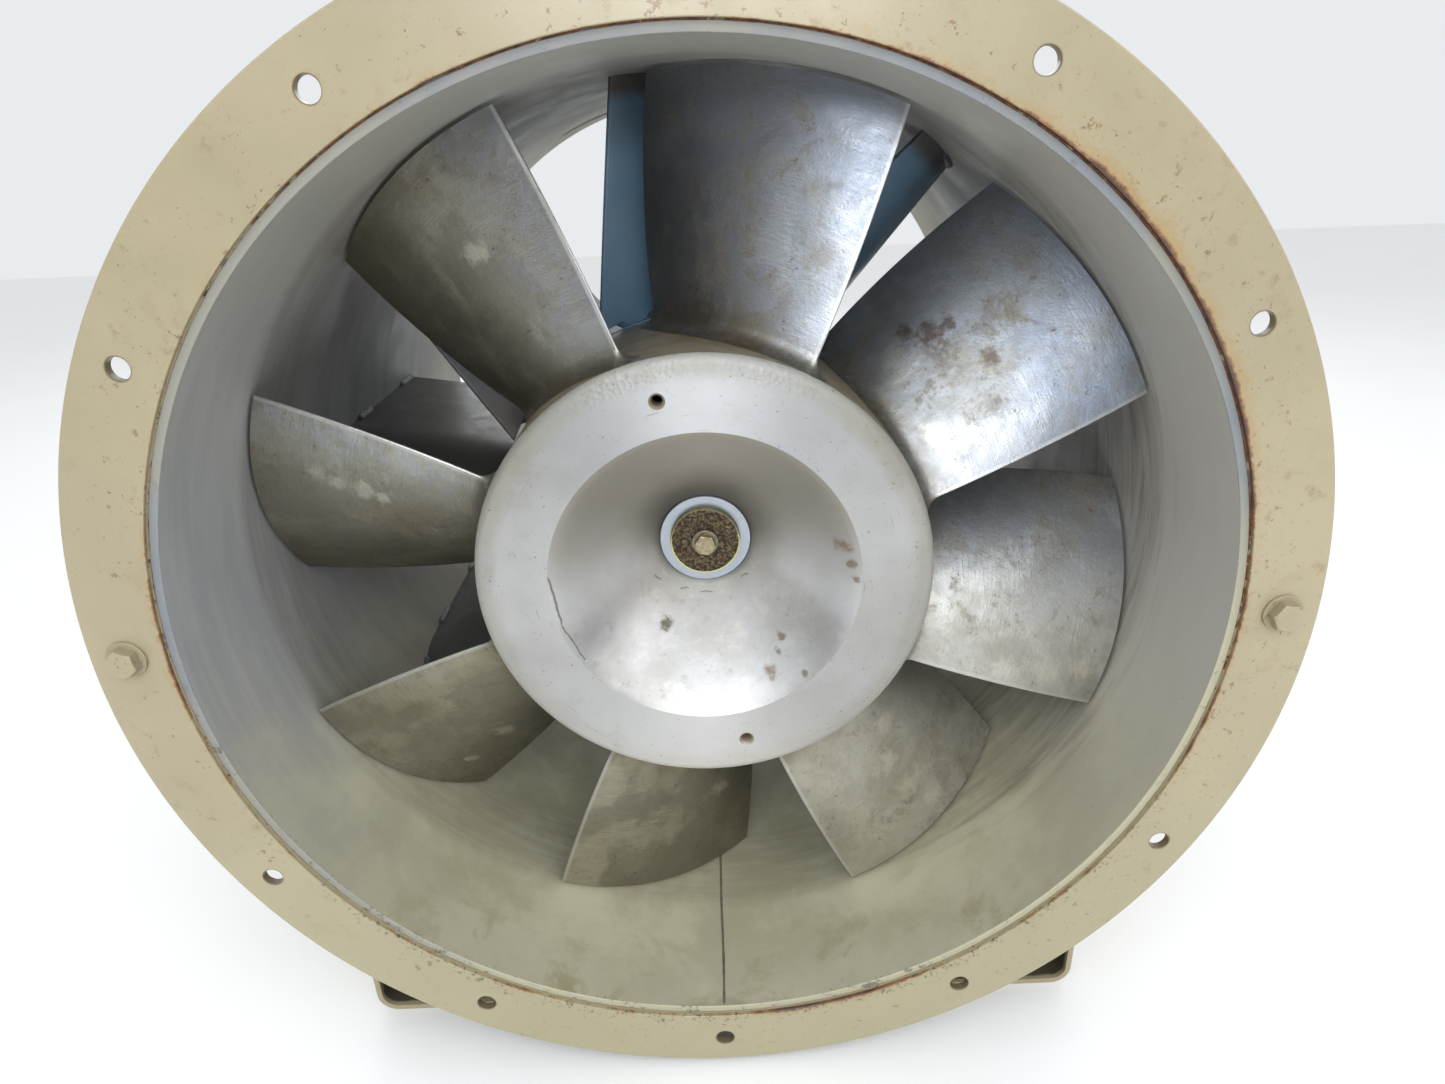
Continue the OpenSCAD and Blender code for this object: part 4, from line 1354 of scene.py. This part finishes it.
def make_saddle_strip(end):
    """The bent strip that is a saddle's two legs and foot, drilled for its floor bolts."""
    y = middle_y(f"{end}_saddle_rim")
    outer = SADDLE_HALF
    inner = SADDLE_HALF - SADDLE_T
    loop = rounded([
        (-outer, casing_underside(outer), 0),
        (-outer, 0.0, SADDLE_BEND),
        (outer, 0.0, SADDLE_BEND),
        (outer, casing_underside(outer), 0),
        (inner, casing_underside(inner), 0),
        (inner, SADDLE_T, SADDLE_BEND - SADDLE_T),
        (-inner, SADDLE_T, SADDLE_BEND - SADDLE_T),
        (-inner, casing_underside(inner), 0),
    ], steps=10)
    strip = plate(f"{end}_saddle_strip", loop, SADDLE_LEN, 0.7 * MM, upright(y))
    cutters = []
    for x in (-FOOT_SPAN / 2, FOOT_SPAN / 2):
        drill = rod("foot_drill", BOLT_HOLE_R, 0.0, FOOT_DRILL, segments=40)
        to_origin = Matrix.Translation((0, -INLET_Y - FOOT_DRILL / 2, -AXIS_Z))
        drill.transform(Matrix.Translation((x, 0, 0)) @ upright(y) @ to_origin)
        cutters.append(drill)
    piece(cut(strip, cutters), "casing", ["saddle"], [f"{end}_saddle_rim"])


def make_saddle_plate(end):
    """The upright plate inside a saddle's strip, and its stitch welds along the casing."""
    y = middle_y(f"{end}_saddle_web")
    width = SADDLE_HALF - SADDLE_T - SADDLE_GAP
    floor = SADDLE_T + SADDLE_GAP
    corners = rounded([
        (-width, casing_underside(width), 0),
        (-width, floor, SADDLE_BEND - SADDLE_T),
        (width, floor, SADDLE_BEND - SADDLE_T),
        (width, casing_underside(width), 0),
    ], steps=8)
    arch_steps = 60
    across = [width * (1 - 2 * k / arch_steps) for k in range(1, arch_steps)]
    arch = [(x, casing_underside(x)) for x in across]
    web = plate(f"{end}_saddle_plate", [*corners, *arch], SADDLE_T, 0.6 * MM, upright(y))
    piece(web, "casing", ["saddle"], [f"{end}_saddle_web"])
    runs = []
    first = -math.pi + math.acos(width / TUBE_R) + 0.04
    last = -math.acos(width / TUBE_R) - 0.04
    for side in (1, -1):
        for stitch in range(SADDLE_STITCHES):
            start = mix(first, last, stitch / SADDLE_STITCHES)
            path = [
                fan_point(
                    TUBE_R + 1.5 * MM,
                    start + SADDLE_STITCH_SWEEP * k / SADDLE_STITCH_STEPS,
                    y + side * 3.4 * MM - INLET_Y,
                )
                for k in range(SADDLE_STITCH_STEPS + 1)
            ]
            rises = [outward(point).normalized() + Vector((0, side, 0)) for point in path]
            runs.append(bead("saddle_weld", path, rises, 8 * MM, 2.4 * MM, seed=stitch + side))
    piece(joined(f"{end}_saddle_welds", runs), "casing", ["cream_weld"])


def make_saddles():
    for end in ("inlet", "outlet"):
        make_saddle_strip(end)
        make_saddle_plate(end)


# ---------------------------------------------------------------- rotor

BLADE_COUNT = 8
BLADE_PHASE = math.radians(61.9)
# Blade corners are (clock angle from the blade's own, station)
LEAD_ROOT = (0.0, 97 * MM)
LEAD_TIP = (math.radians(3.4), 118 * MM)
TRAIL_ROOT = (math.radians(39.4), 221 * MM)
TRAIL_TIP = (math.radians(32.5), 202.5 * MM)
SPAN_FROM = HUB_R - 5 * MM
# Camber as a share of the chord, and thickness, at the root and the tip
CAMBER = (0.09, 0.08)
BLADE_T = (9 * MM, 6 * MM)
BLADE_EDGE_T = 2.4 * MM
ROOT_FILLET = 13 * MM
CHORD_STEPS = 44
NOSE_STEPS = 4
FILLET_STEPS = 8
SPAN_STEPS = 26

# Material slots of the rotor casting
ROTOR_LOOKS = ["hub_face", "dish", "casting", "boss", "blade"]
FACE_SLOT, DISH_SLOT, CAST_SLOT, BOSS_SLOT, BLADE_SLOT = range(len(ROTOR_LOOKS))


def blade_ring(radius):
    """One closed section of a blade on a cylinder round the axis: (across, along, chord share) points.

    across is an arc length from the blade's own clock angle and along is a station. The section
    swells towards the hub, so its sides meet the hub in a fillet."""
    t = (radius - SPAN_FROM) / (ROTOR_R - SPAN_FROM)
    lead = [mix(a, b, t) for a, b in zip(LEAD_ROOT, LEAD_TIP)]
    trail = [mix(a, b, t) for a, b in zip(TRAIL_ROOT, TRAIL_TIP)]
    run, rise = (trail[0] - lead[0]) * radius, trail[1] - lead[1]
    chord = math.hypot(run, rise)
    camber = mix(*CAMBER, t) * chord
    edge_half = BLADE_EDGE_T / 2
    middle_half = mix(*BLADE_T, t) / 2
    ends = (edge_half, chord - edge_half)

    def skin(k, side):
        share = 0.5 - 0.5 * math.cos(math.pi * k / CHORD_STEPS)
        swelling = 4 * share * (1 - share)
        thick = mix(edge_half, middle_half, swelling)
        return mix(*ends, share), camber * swelling + side * thick, share

    points = [skin(k, 1) for k in range(CHORD_STEPS + 1)]
    for k in range(1, NOSE_STEPS):
        a = math.pi * k / NOSE_STEPS
        points.append((ends[1] + edge_half * math.sin(a), edge_half * math.cos(a), 1.0))
    points += [skin(k, -1) for k in range(CHORD_STEPS, -1, -1)]
    for k in range(1, NOSE_STEPS):
        a = math.pi * k / NOSE_STEPS
        points.append((ends[0] - edge_half * math.sin(a), -edge_half * math.cos(a), 0.0))
    gap = max(0.0, radius - HUB_R)
    swell = 0.0
    if gap < ROOT_FILLET:
        swell = ROOT_FILLET - math.sqrt(ROOT_FILLET ** 2 - (ROOT_FILLET - gap) ** 2)
    ring = []
    for k, (x, n, share) in enumerate(points):
        before, after = points[k - 1], points[(k + 1) % len(points)]
        tangent = Vector((after[0] - before[0], after[1] - before[1])).normalized()
        x -= tangent.y * swell
        n += tangent.x * swell
        across = lead[0] * radius + (x * run + n * rise) / chord
        along = lead[1] + (x * rise - n * run) / chord
        ring.append((across, along, share))
    return ring


def blade_mesh(number):
    """One blade, from inside the hub's wall to the tip, with UV along the chord and the span."""
    fillet_end = HUB_R + ROOT_FILLET
    radii = [HUB_R - 2 * MM]
    for k in range(FILLET_STEPS + 1):
        radii.append(HUB_R + ROOT_FILLET * (1 - math.cos(math.pi / 2 * k / FILLET_STEPS)))
    radii += [mix(fillet_end, ROTOR_R - 0.4 * MM, k / SPAN_STEPS) for k in range(1, SPAN_STEPS + 1)]
    radii.append(ROTOR_R)
    clock = BLADE_PHASE + number * FULL_TURN / BLADE_COUNT
    rings, uvs = [], []
    for radius in radii:
        section = blade_ring(radius)
        rings.append([fan_point(radius, clock + across / radius, along) for across, along, _ in section])
        height = BLADE_V_START + 2 * number + (radius - HUB_R) / (ROTOR_R - HUB_R)
        uvs += [(share, height) for _, _, share in section]
    verts, faces = loft(rings)
    count = len(rings[0])
    faces += section_cap(len(verts) - count, CHORD_STEPS, NOSE_STEPS - 1, count)
    return mesh_from("blade", verts, faces, [BLADE_SLOT] * len(faces), uvs, sharp_deg=50)


DISH_R = 119 * MM
DISH_CURVE = 1.2
DISH_STEPS = 40
BOSS_R = 38.25 * MM
HUB_BORE_R = 17.6 * MM
HUB_EDGE = 7 * MM
HUB_EDGE_STEPS = 12
HUB_WALL = 10 * MM
HUB_WEB_T = 16 * MM
HUB_BACK_STEPS = 8
BOSS_BACK = 236 * MM
TAP_PITCH = 1.5 * MM
TAP_TURNS = 9


def dish_station(t):
    """The dish's surface, for t from 0 at its rim to 1 at the boss."""
    return HUB_FROM + (BOSS_FACE - HUB_FROM) * t ** DISH_CURVE


def tap_cutter(clock):
    """A cutter for one threaded puller hole."""
    mouth = PULLER_HOLE_R + 1.2 * MM
    crest = PULLER_HOLE_R - 0.5 * MM
    outline = [
        (0.0, HUB_FROM - 2 * MM),
        (mouth, HUB_FROM - 2 * MM),
        (mouth, HUB_FROM),
        (PULLER_HOLE_R, HUB_FROM + 1.1 * MM),
    ]
    for turn in range(TAP_TURNS):
        station = HUB_FROM + 1.6 * MM + TAP_PITCH * turn
        outline += [(crest, station), (PULLER_HOLE_R, station + TAP_PITCH / 2)]
    outline += [(crest, HUB_FROM + 40 * MM), (0.0, HUB_FROM + 40 * MM)]
    spot = fan_point(PULLER_CIRCLE_R, clock, 0)
    slots = [CAST_SLOT] * len(outline)
    return lathe("tap", outline, segments=48, closed=False, centre=spot, slots=slots)


def hub_mesh():
    """The hub casting: boss face, dish, turned face with a rounded edge, cast side and open back."""
    inside = HUB_R - HUB_WALL
    back_r = DISH_R + 4 * MM
    rows = [
        (HUB_BORE_R, BOSS_FACE, BOSS_SLOT),
        (BOSS_R - 0.6 * MM, BOSS_FACE, BOSS_SLOT),
        (BOSS_R, BOSS_FACE + 0.6 * MM, BOSS_SLOT),
        (BOSS_R + 0.4 * MM, BOSS_FACE + 2.6 * MM, DISH_SLOT),
    ]
    for k in range(DISH_STEPS, -1, -1):
        t = k / DISH_STEPS
        radius = mix(DISH_R - 0.5 * MM, BOSS_R + 1.6 * MM, t)
        rows.append((radius, dish_station(t) + 0.35 * MM * (1 - t), DISH_SLOT))
    rows.append((DISH_R, HUB_FROM + 0.12 * MM, FACE_SLOT))
    rows.append((DISH_R + 0.4 * MM, HUB_FROM, FACE_SLOT))
    for k in range(HUB_EDGE_STEPS + 1):
        a = math.pi / 2 * k / HUB_EDGE_STEPS
        radius = HUB_R - HUB_EDGE + HUB_EDGE * math.sin(a)
        slot = FACE_SLOT if k < HUB_EDGE_STEPS else CAST_SLOT
        rows.append((radius, HUB_FROM + HUB_EDGE * (1 - math.cos(a)), slot))
    back = [
        (HUB_R, HUB_TO - 1 * MM),
        (HUB_R - 1 * MM, HUB_TO),
        (inside, HUB_TO),
        (inside, HUB_FROM + 34 * MM),
        (inside - 14 * MM, HUB_FROM + 18 * MM),
        (back_r, HUB_FROM + 18 * MM),
    ]
    for k in range(1, HUB_BACK_STEPS + 1):
        t = k / HUB_BACK_STEPS
        back.append((mix(back_r, BOSS_R + 6 * MM, t), dish_station(t) + HUB_WEB_T))
    back += [(BOSS_R, BOSS_BACK), (HUB_BORE_R, BOSS_BACK)]
    rows += [(radius, station, CAST_SLOT) for radius, station in back]
    outline = [(radius, station) for radius, station, slot in rows]
    mesh = lathe("hub", outline, segments=288, slots=[slot for radius, station, slot in rows])
    return cut(mesh, [tap_cutter(math.radians(degrees)) for degrees in (101, 281)])


def make_rotor():
    hub = hub_mesh()
    blades = [blade_mesh(number) for number in range(BLADE_COUNT)]
    piece(joined("rotor_casting", [hub, *blades]), "rotor", ROTOR_LOOKS, ["impeller"])


END_WASHER_T = 6 * MM
LOCK_T = 3 * MM
LOCK_R = half_width("shaft_lock_washer")
LOCK_SPLIT = math.radians(-70)
LOCK_GAP = 0.16
LOCK_TWIST = 0.25 * MM
LOCK_SEGMENTS = 70
END_BOLT_R = 5.55 * MM
END_BOLT_FLATS = 15.9 * MM
END_BOLT_HEAD = 7.1 * MM


def split_washer(front):
    """A spring washer cut through at one place, its two ends a little apart along the axis too."""
    inner = END_BOLT_R + 0.3 * MM
    section = ring_section(inner, LOCK_R, 0.0, LOCK_T, [0.4 * MM, 0.5 * MM, 0.4 * MM, 0.4 * MM], steps=3)
    rings = []
    for k in range(LOCK_SEGMENTS + 1):
        share = k / LOCK_SEGMENTS
        clock = LOCK_SPLIT + LOCK_GAP / 2 + (FULL_TURN - LOCK_GAP) * share
        shift = front - LOCK_TWIST * (share - 0.5)
        rings.append([fan_point(radius, clock, shift + station) for radius, station in section])
    verts, faces = loft(rings)
    return mesh_from("shaft_split_washer", verts, faces + end_caps(verts, len(section)))


def make_shaft_end():
    """Washer, split lock washer and bolt in the middle of the dish."""
    front = BOSS_FACE - END_WASHER_T
    edges = [0.3 * MM, 0.9 * MM, 0.4 * MM, 0.3 * MM]
    section = ring_section(END_BOLT_R + 0.4 * MM, WASHER_R, front, BOSS_FACE, edges)
    washer = lathe("shaft_end_disc", section, segments=120)
    piece(washer, "rotor", ["washer"], ["shaft_end_washer"])
    lock_front = front - LOCK_T
    piece(split_washer(lock_front), "rotor", ["worn_steel"], ["shaft_lock_washer"])
    seat = INLET_Y + lock_front - 0.1 * MM
    head = hex_head("shaft_bolt_head", END_BOLT_FLATS, END_BOLT_HEAD, (0.0, AXIS_Z), seat, spin=0.35)
    bolt_end = high("shaft_end_bolt", "y") - INLET_Y - 0.5 * MM
    shank = rod("shank", END_BOLT_R, lock_front - 1 * MM, bolt_end)
    piece(joined("shaft_bolt", [head, shank]), "rotor", ["zinc"], ["shaft_end_bolt"])


# ---------------------------------------------------------------- bolts left in the flange

# Clock angles of the two bolts, and how far each is turned
FLANGE_BOLTS = ((0.0, 0.4), (math.pi, 0.15))
BOLT_R = 6.35 * MM
BOLT_FLATS = 19 * MM
BOLT_HEAD = 7.9 * MM
BOLT_END = 34 * MM
NUT_T = 10.9 * MM
BOLT_WASHER_R = 13.5 * MM
BOLT_WASHER_T = 2.4 * MM


def make_flange_bolts():
    bolts, washers, nuts = [], [], []
    for clock, spin in FLANGE_BOLTS:
        spot = fan_point(BOLT_CIRCLE_R, clock, 0)
        flat = (spot.x, spot.z)
        seat = INLET_Y - BOLT_WASHER_T
        bolts.append(hex_head("head", BOLT_FLATS, BOLT_HEAD, flat, seat, spin, edge=0.9 * MM))
        bolts.append(rod("shank", BOLT_R, -BOLT_WASHER_T, BOLT_END, edge=1.2 * MM, centre=spot))
        edges = [0.3 * MM, 0.8 * MM, 0.4 * MM, 0.3 * MM]
        section = ring_section(BOLT_R + 0.3 * MM, BOLT_WASHER_R, -BOLT_WASHER_T, 0.0, edges)
        washers.append(lathe("washer", section, segments=72, centre=spot))
        nut = hex_head("nut", BOLT_FLATS, NUT_T, flat, INLET_Y + FLANGE_T + NUT_T, spin)
        bore = rod("bore", BOLT_R + 0.02 * MM, 0.0, 40 * MM, centre=spot)
        nuts.append(cut(nut, [bore]))
    for part, meshes in (("bolt", bolts), ("washer", washers), ("nut", nuts)):
        mesh = joined(f"flange_{part}_set", meshes)
        node = "flange_washers" if part == "washer" else f"flange_{part}s"
        piece(mesh, "casing", ["bolt_paint"], [node])


# ---------------------------------------------------------------- CAD nodes that stay as they are

# The look that each kept node gets
KEPT = {
    "motor_plate": "vane",
    "impeller_key": "steel",
    "motor_shaft": "steel",
    "rotor_core": "core",
    "motor_frame": "motor",
    "front_end_bell": "motor",
    "rear_end_bell": "motor",
    "stator_core": "core",
    "stator_windings": "copper",
    "end_bell_screws": "dark_steel",
    "motor_bolts": "dark_steel",
    "motor_lock_washers": "dark_steel",
    "conduit_pipe": "galvanised",
    "conduit_locknuts": "galvanised",
    "terminal_box": "motor",
    "terminal_box_bracket": "outside",
    "terminal_box_gasket": "rubber",
    "terminal_box_lid": "motor",
    "terminal_box_screws": "dark_steel",
    "cable_gland": "nylon",
}
KEPT.update({name: "steel" for name in NODES if "_bearing_" in name})
# Bevel widths in millimetres, for the kept nodes whose edges show
SOFT_EDGES = {
    "motor_frame": 0.8, "front_end_bell": 1.2, "rear_end_bell": 1.5, "terminal_box": 1.0,
    "terminal_box_lid": 0.6, "terminal_box_bracket": 0.8, "motor_plate": 0.8, "cable_gland": 0.5,
    "end_bell_screws": 0.4, "motor_bolts": 0.5, "terminal_box_screws": 0.4, "conduit_locknuts": 0.4,
}


def dress_kept_nodes():
    for name, look in KEPT.items():
        node = NODES[name]
        node.data.materials.clear()
        node.data.materials.append(LOOKS[look])
        if name in SOFT_EDGES:
            edge = node.modifiers.new("soft_edges", "BEVEL")
            edge.width = SOFT_EDGES[name] * MM
            edge.segments = 2
            edge.limit_method = "ANGLE"
            edge.angle_limit = math.radians(40)
            edge.harden_normals = True


# ---------------------------------------------------------------- stage, light and camera

CAMERA_OFFSET = Vector((0.0321, -1.3782, 0.7810)) * BOLT_CIRCLE_R
CAMERA_PITCH = math.radians(23.72)
CAMERA_YAW = math.radians(-0.15)
CAMERA_ROLL = math.radians(-2.24)
SENSOR = 36.0
LENS = 22.67

TABLE_HALF = 6.0
INLET_MIDDLE = (0, INLET_Y, AXIS_Z)
FAN_MIDDLE = (0, 0, AXIS_Z)
# Name, place, what it shines at, size, power in watts, colour
LAMPS = (
    ("ceiling_front", (0.0, -2.5, 2.5), INLET_MIDDLE, (3.8, 1.8), 54, (0.93, 0.97, 1.0)),
    ("wall_strip", (0.0, -3.6, 1.40), (0, INLET_Y, AXIS_Z + 0.4), (1.5, 0.4), 36, (1, 1, 1)),
    ("window_left", (-2.4, -2.2, 2.2), FAN_MIDDLE, (1.6, 1.6), 8, (0.80, 0.90, 1.0)),
    ("fill_right", (2.4, -1.9, 2.0), FAN_MIDDLE, (1.8, 1.8), 22, (0.97, 0.98, 1.0)),
    ("back_wash", (0.0, 2.6, 1.8), FAN_MIDDLE, (2.4, 1.6), 24, (1, 1, 1)),
)


def make_camera():
    data = bpy.data.cameras.new("camera")
    data.sensor_width = SENSOR
    data.lens = LENS
    data.clip_start = 0.01
    camera = linked("camera", data)
    turn = (
        Matrix.Rotation(CAMERA_YAW, 4, "Z")
        @ Matrix.Rotation(math.pi / 2 - CAMERA_PITCH, 4, "X")
        @ Matrix.Rotation(CAMERA_ROLL, 4, "Z")
    )
    camera.matrix_world = Matrix.Translation(Vector(INLET_MIDDLE) + CAMERA_OFFSET) @ turn
    bpy.context.scene.camera = camera


def make_lamp(name, place, target, size, power, colour):
    data = bpy.data.lights.new(name, "AREA")
    data.shape = "RECTANGLE"
    data.size, data.size_y = size
    data.energy = power
    data.color = colour
    lamp = linked(name, data)
    lamp.location = place
    lamp.rotation_euler = (Vector(target) - Vector(place)).to_track_quat("-Z", "Y").to_euler()


def make_world():
    """A hall round the fan: pale behind it and overhead, dim and warm low down in front of it."""
    world = bpy.data.worlds.new("studio")
    world.use_nodes = True
    background = world.node_tree.nodes["Background"]
    sky = Nodes(world.node_tree)
    _, back, up = sky.split(sky.node("ShaderNodeTexCoord").outputs["Generated"])
    pale = sky.math("MAXIMUM", sky.band(back, -0.25, 0.45), sky.band(up, 0.0, 0.30))
    sky.feed(background.inputs["Color"], sky.blend(pale, (0.23, 0.22, 0.20), (0.86, 0.88, 0.90)))
    background.inputs["Strength"].default_value = 0.95
    bpy.context.scene.world = world


def make_stage():
    corners = [(x * TABLE_HALF, y * TABLE_HALF, 0) for x, y in ((-1, -1), (1, -1), (1, 1), (-1, 1))]
    mesh = mesh_from("table_top", corners, [(0, 1, 2, 3)])
    mesh.materials.append(LOOKS["table"])
    table = linked("table_top", mesh)
    table.location.z = -0.2 * MM
    make_world()
    for lamp in LAMPS:
        make_lamp(*lamp)
    bpy.context.scene.view_settings.view_transform = "Standard"


make_camera()
make_stage()
make_casing_tube()
make_seams()
make_flanges()
make_joint_beads()
make_flange_welds()
make_barrel()
make_vanes()
make_saddles()
make_rotor()
make_shaft_end()
make_flange_bolts()
dress_kept_nodes()
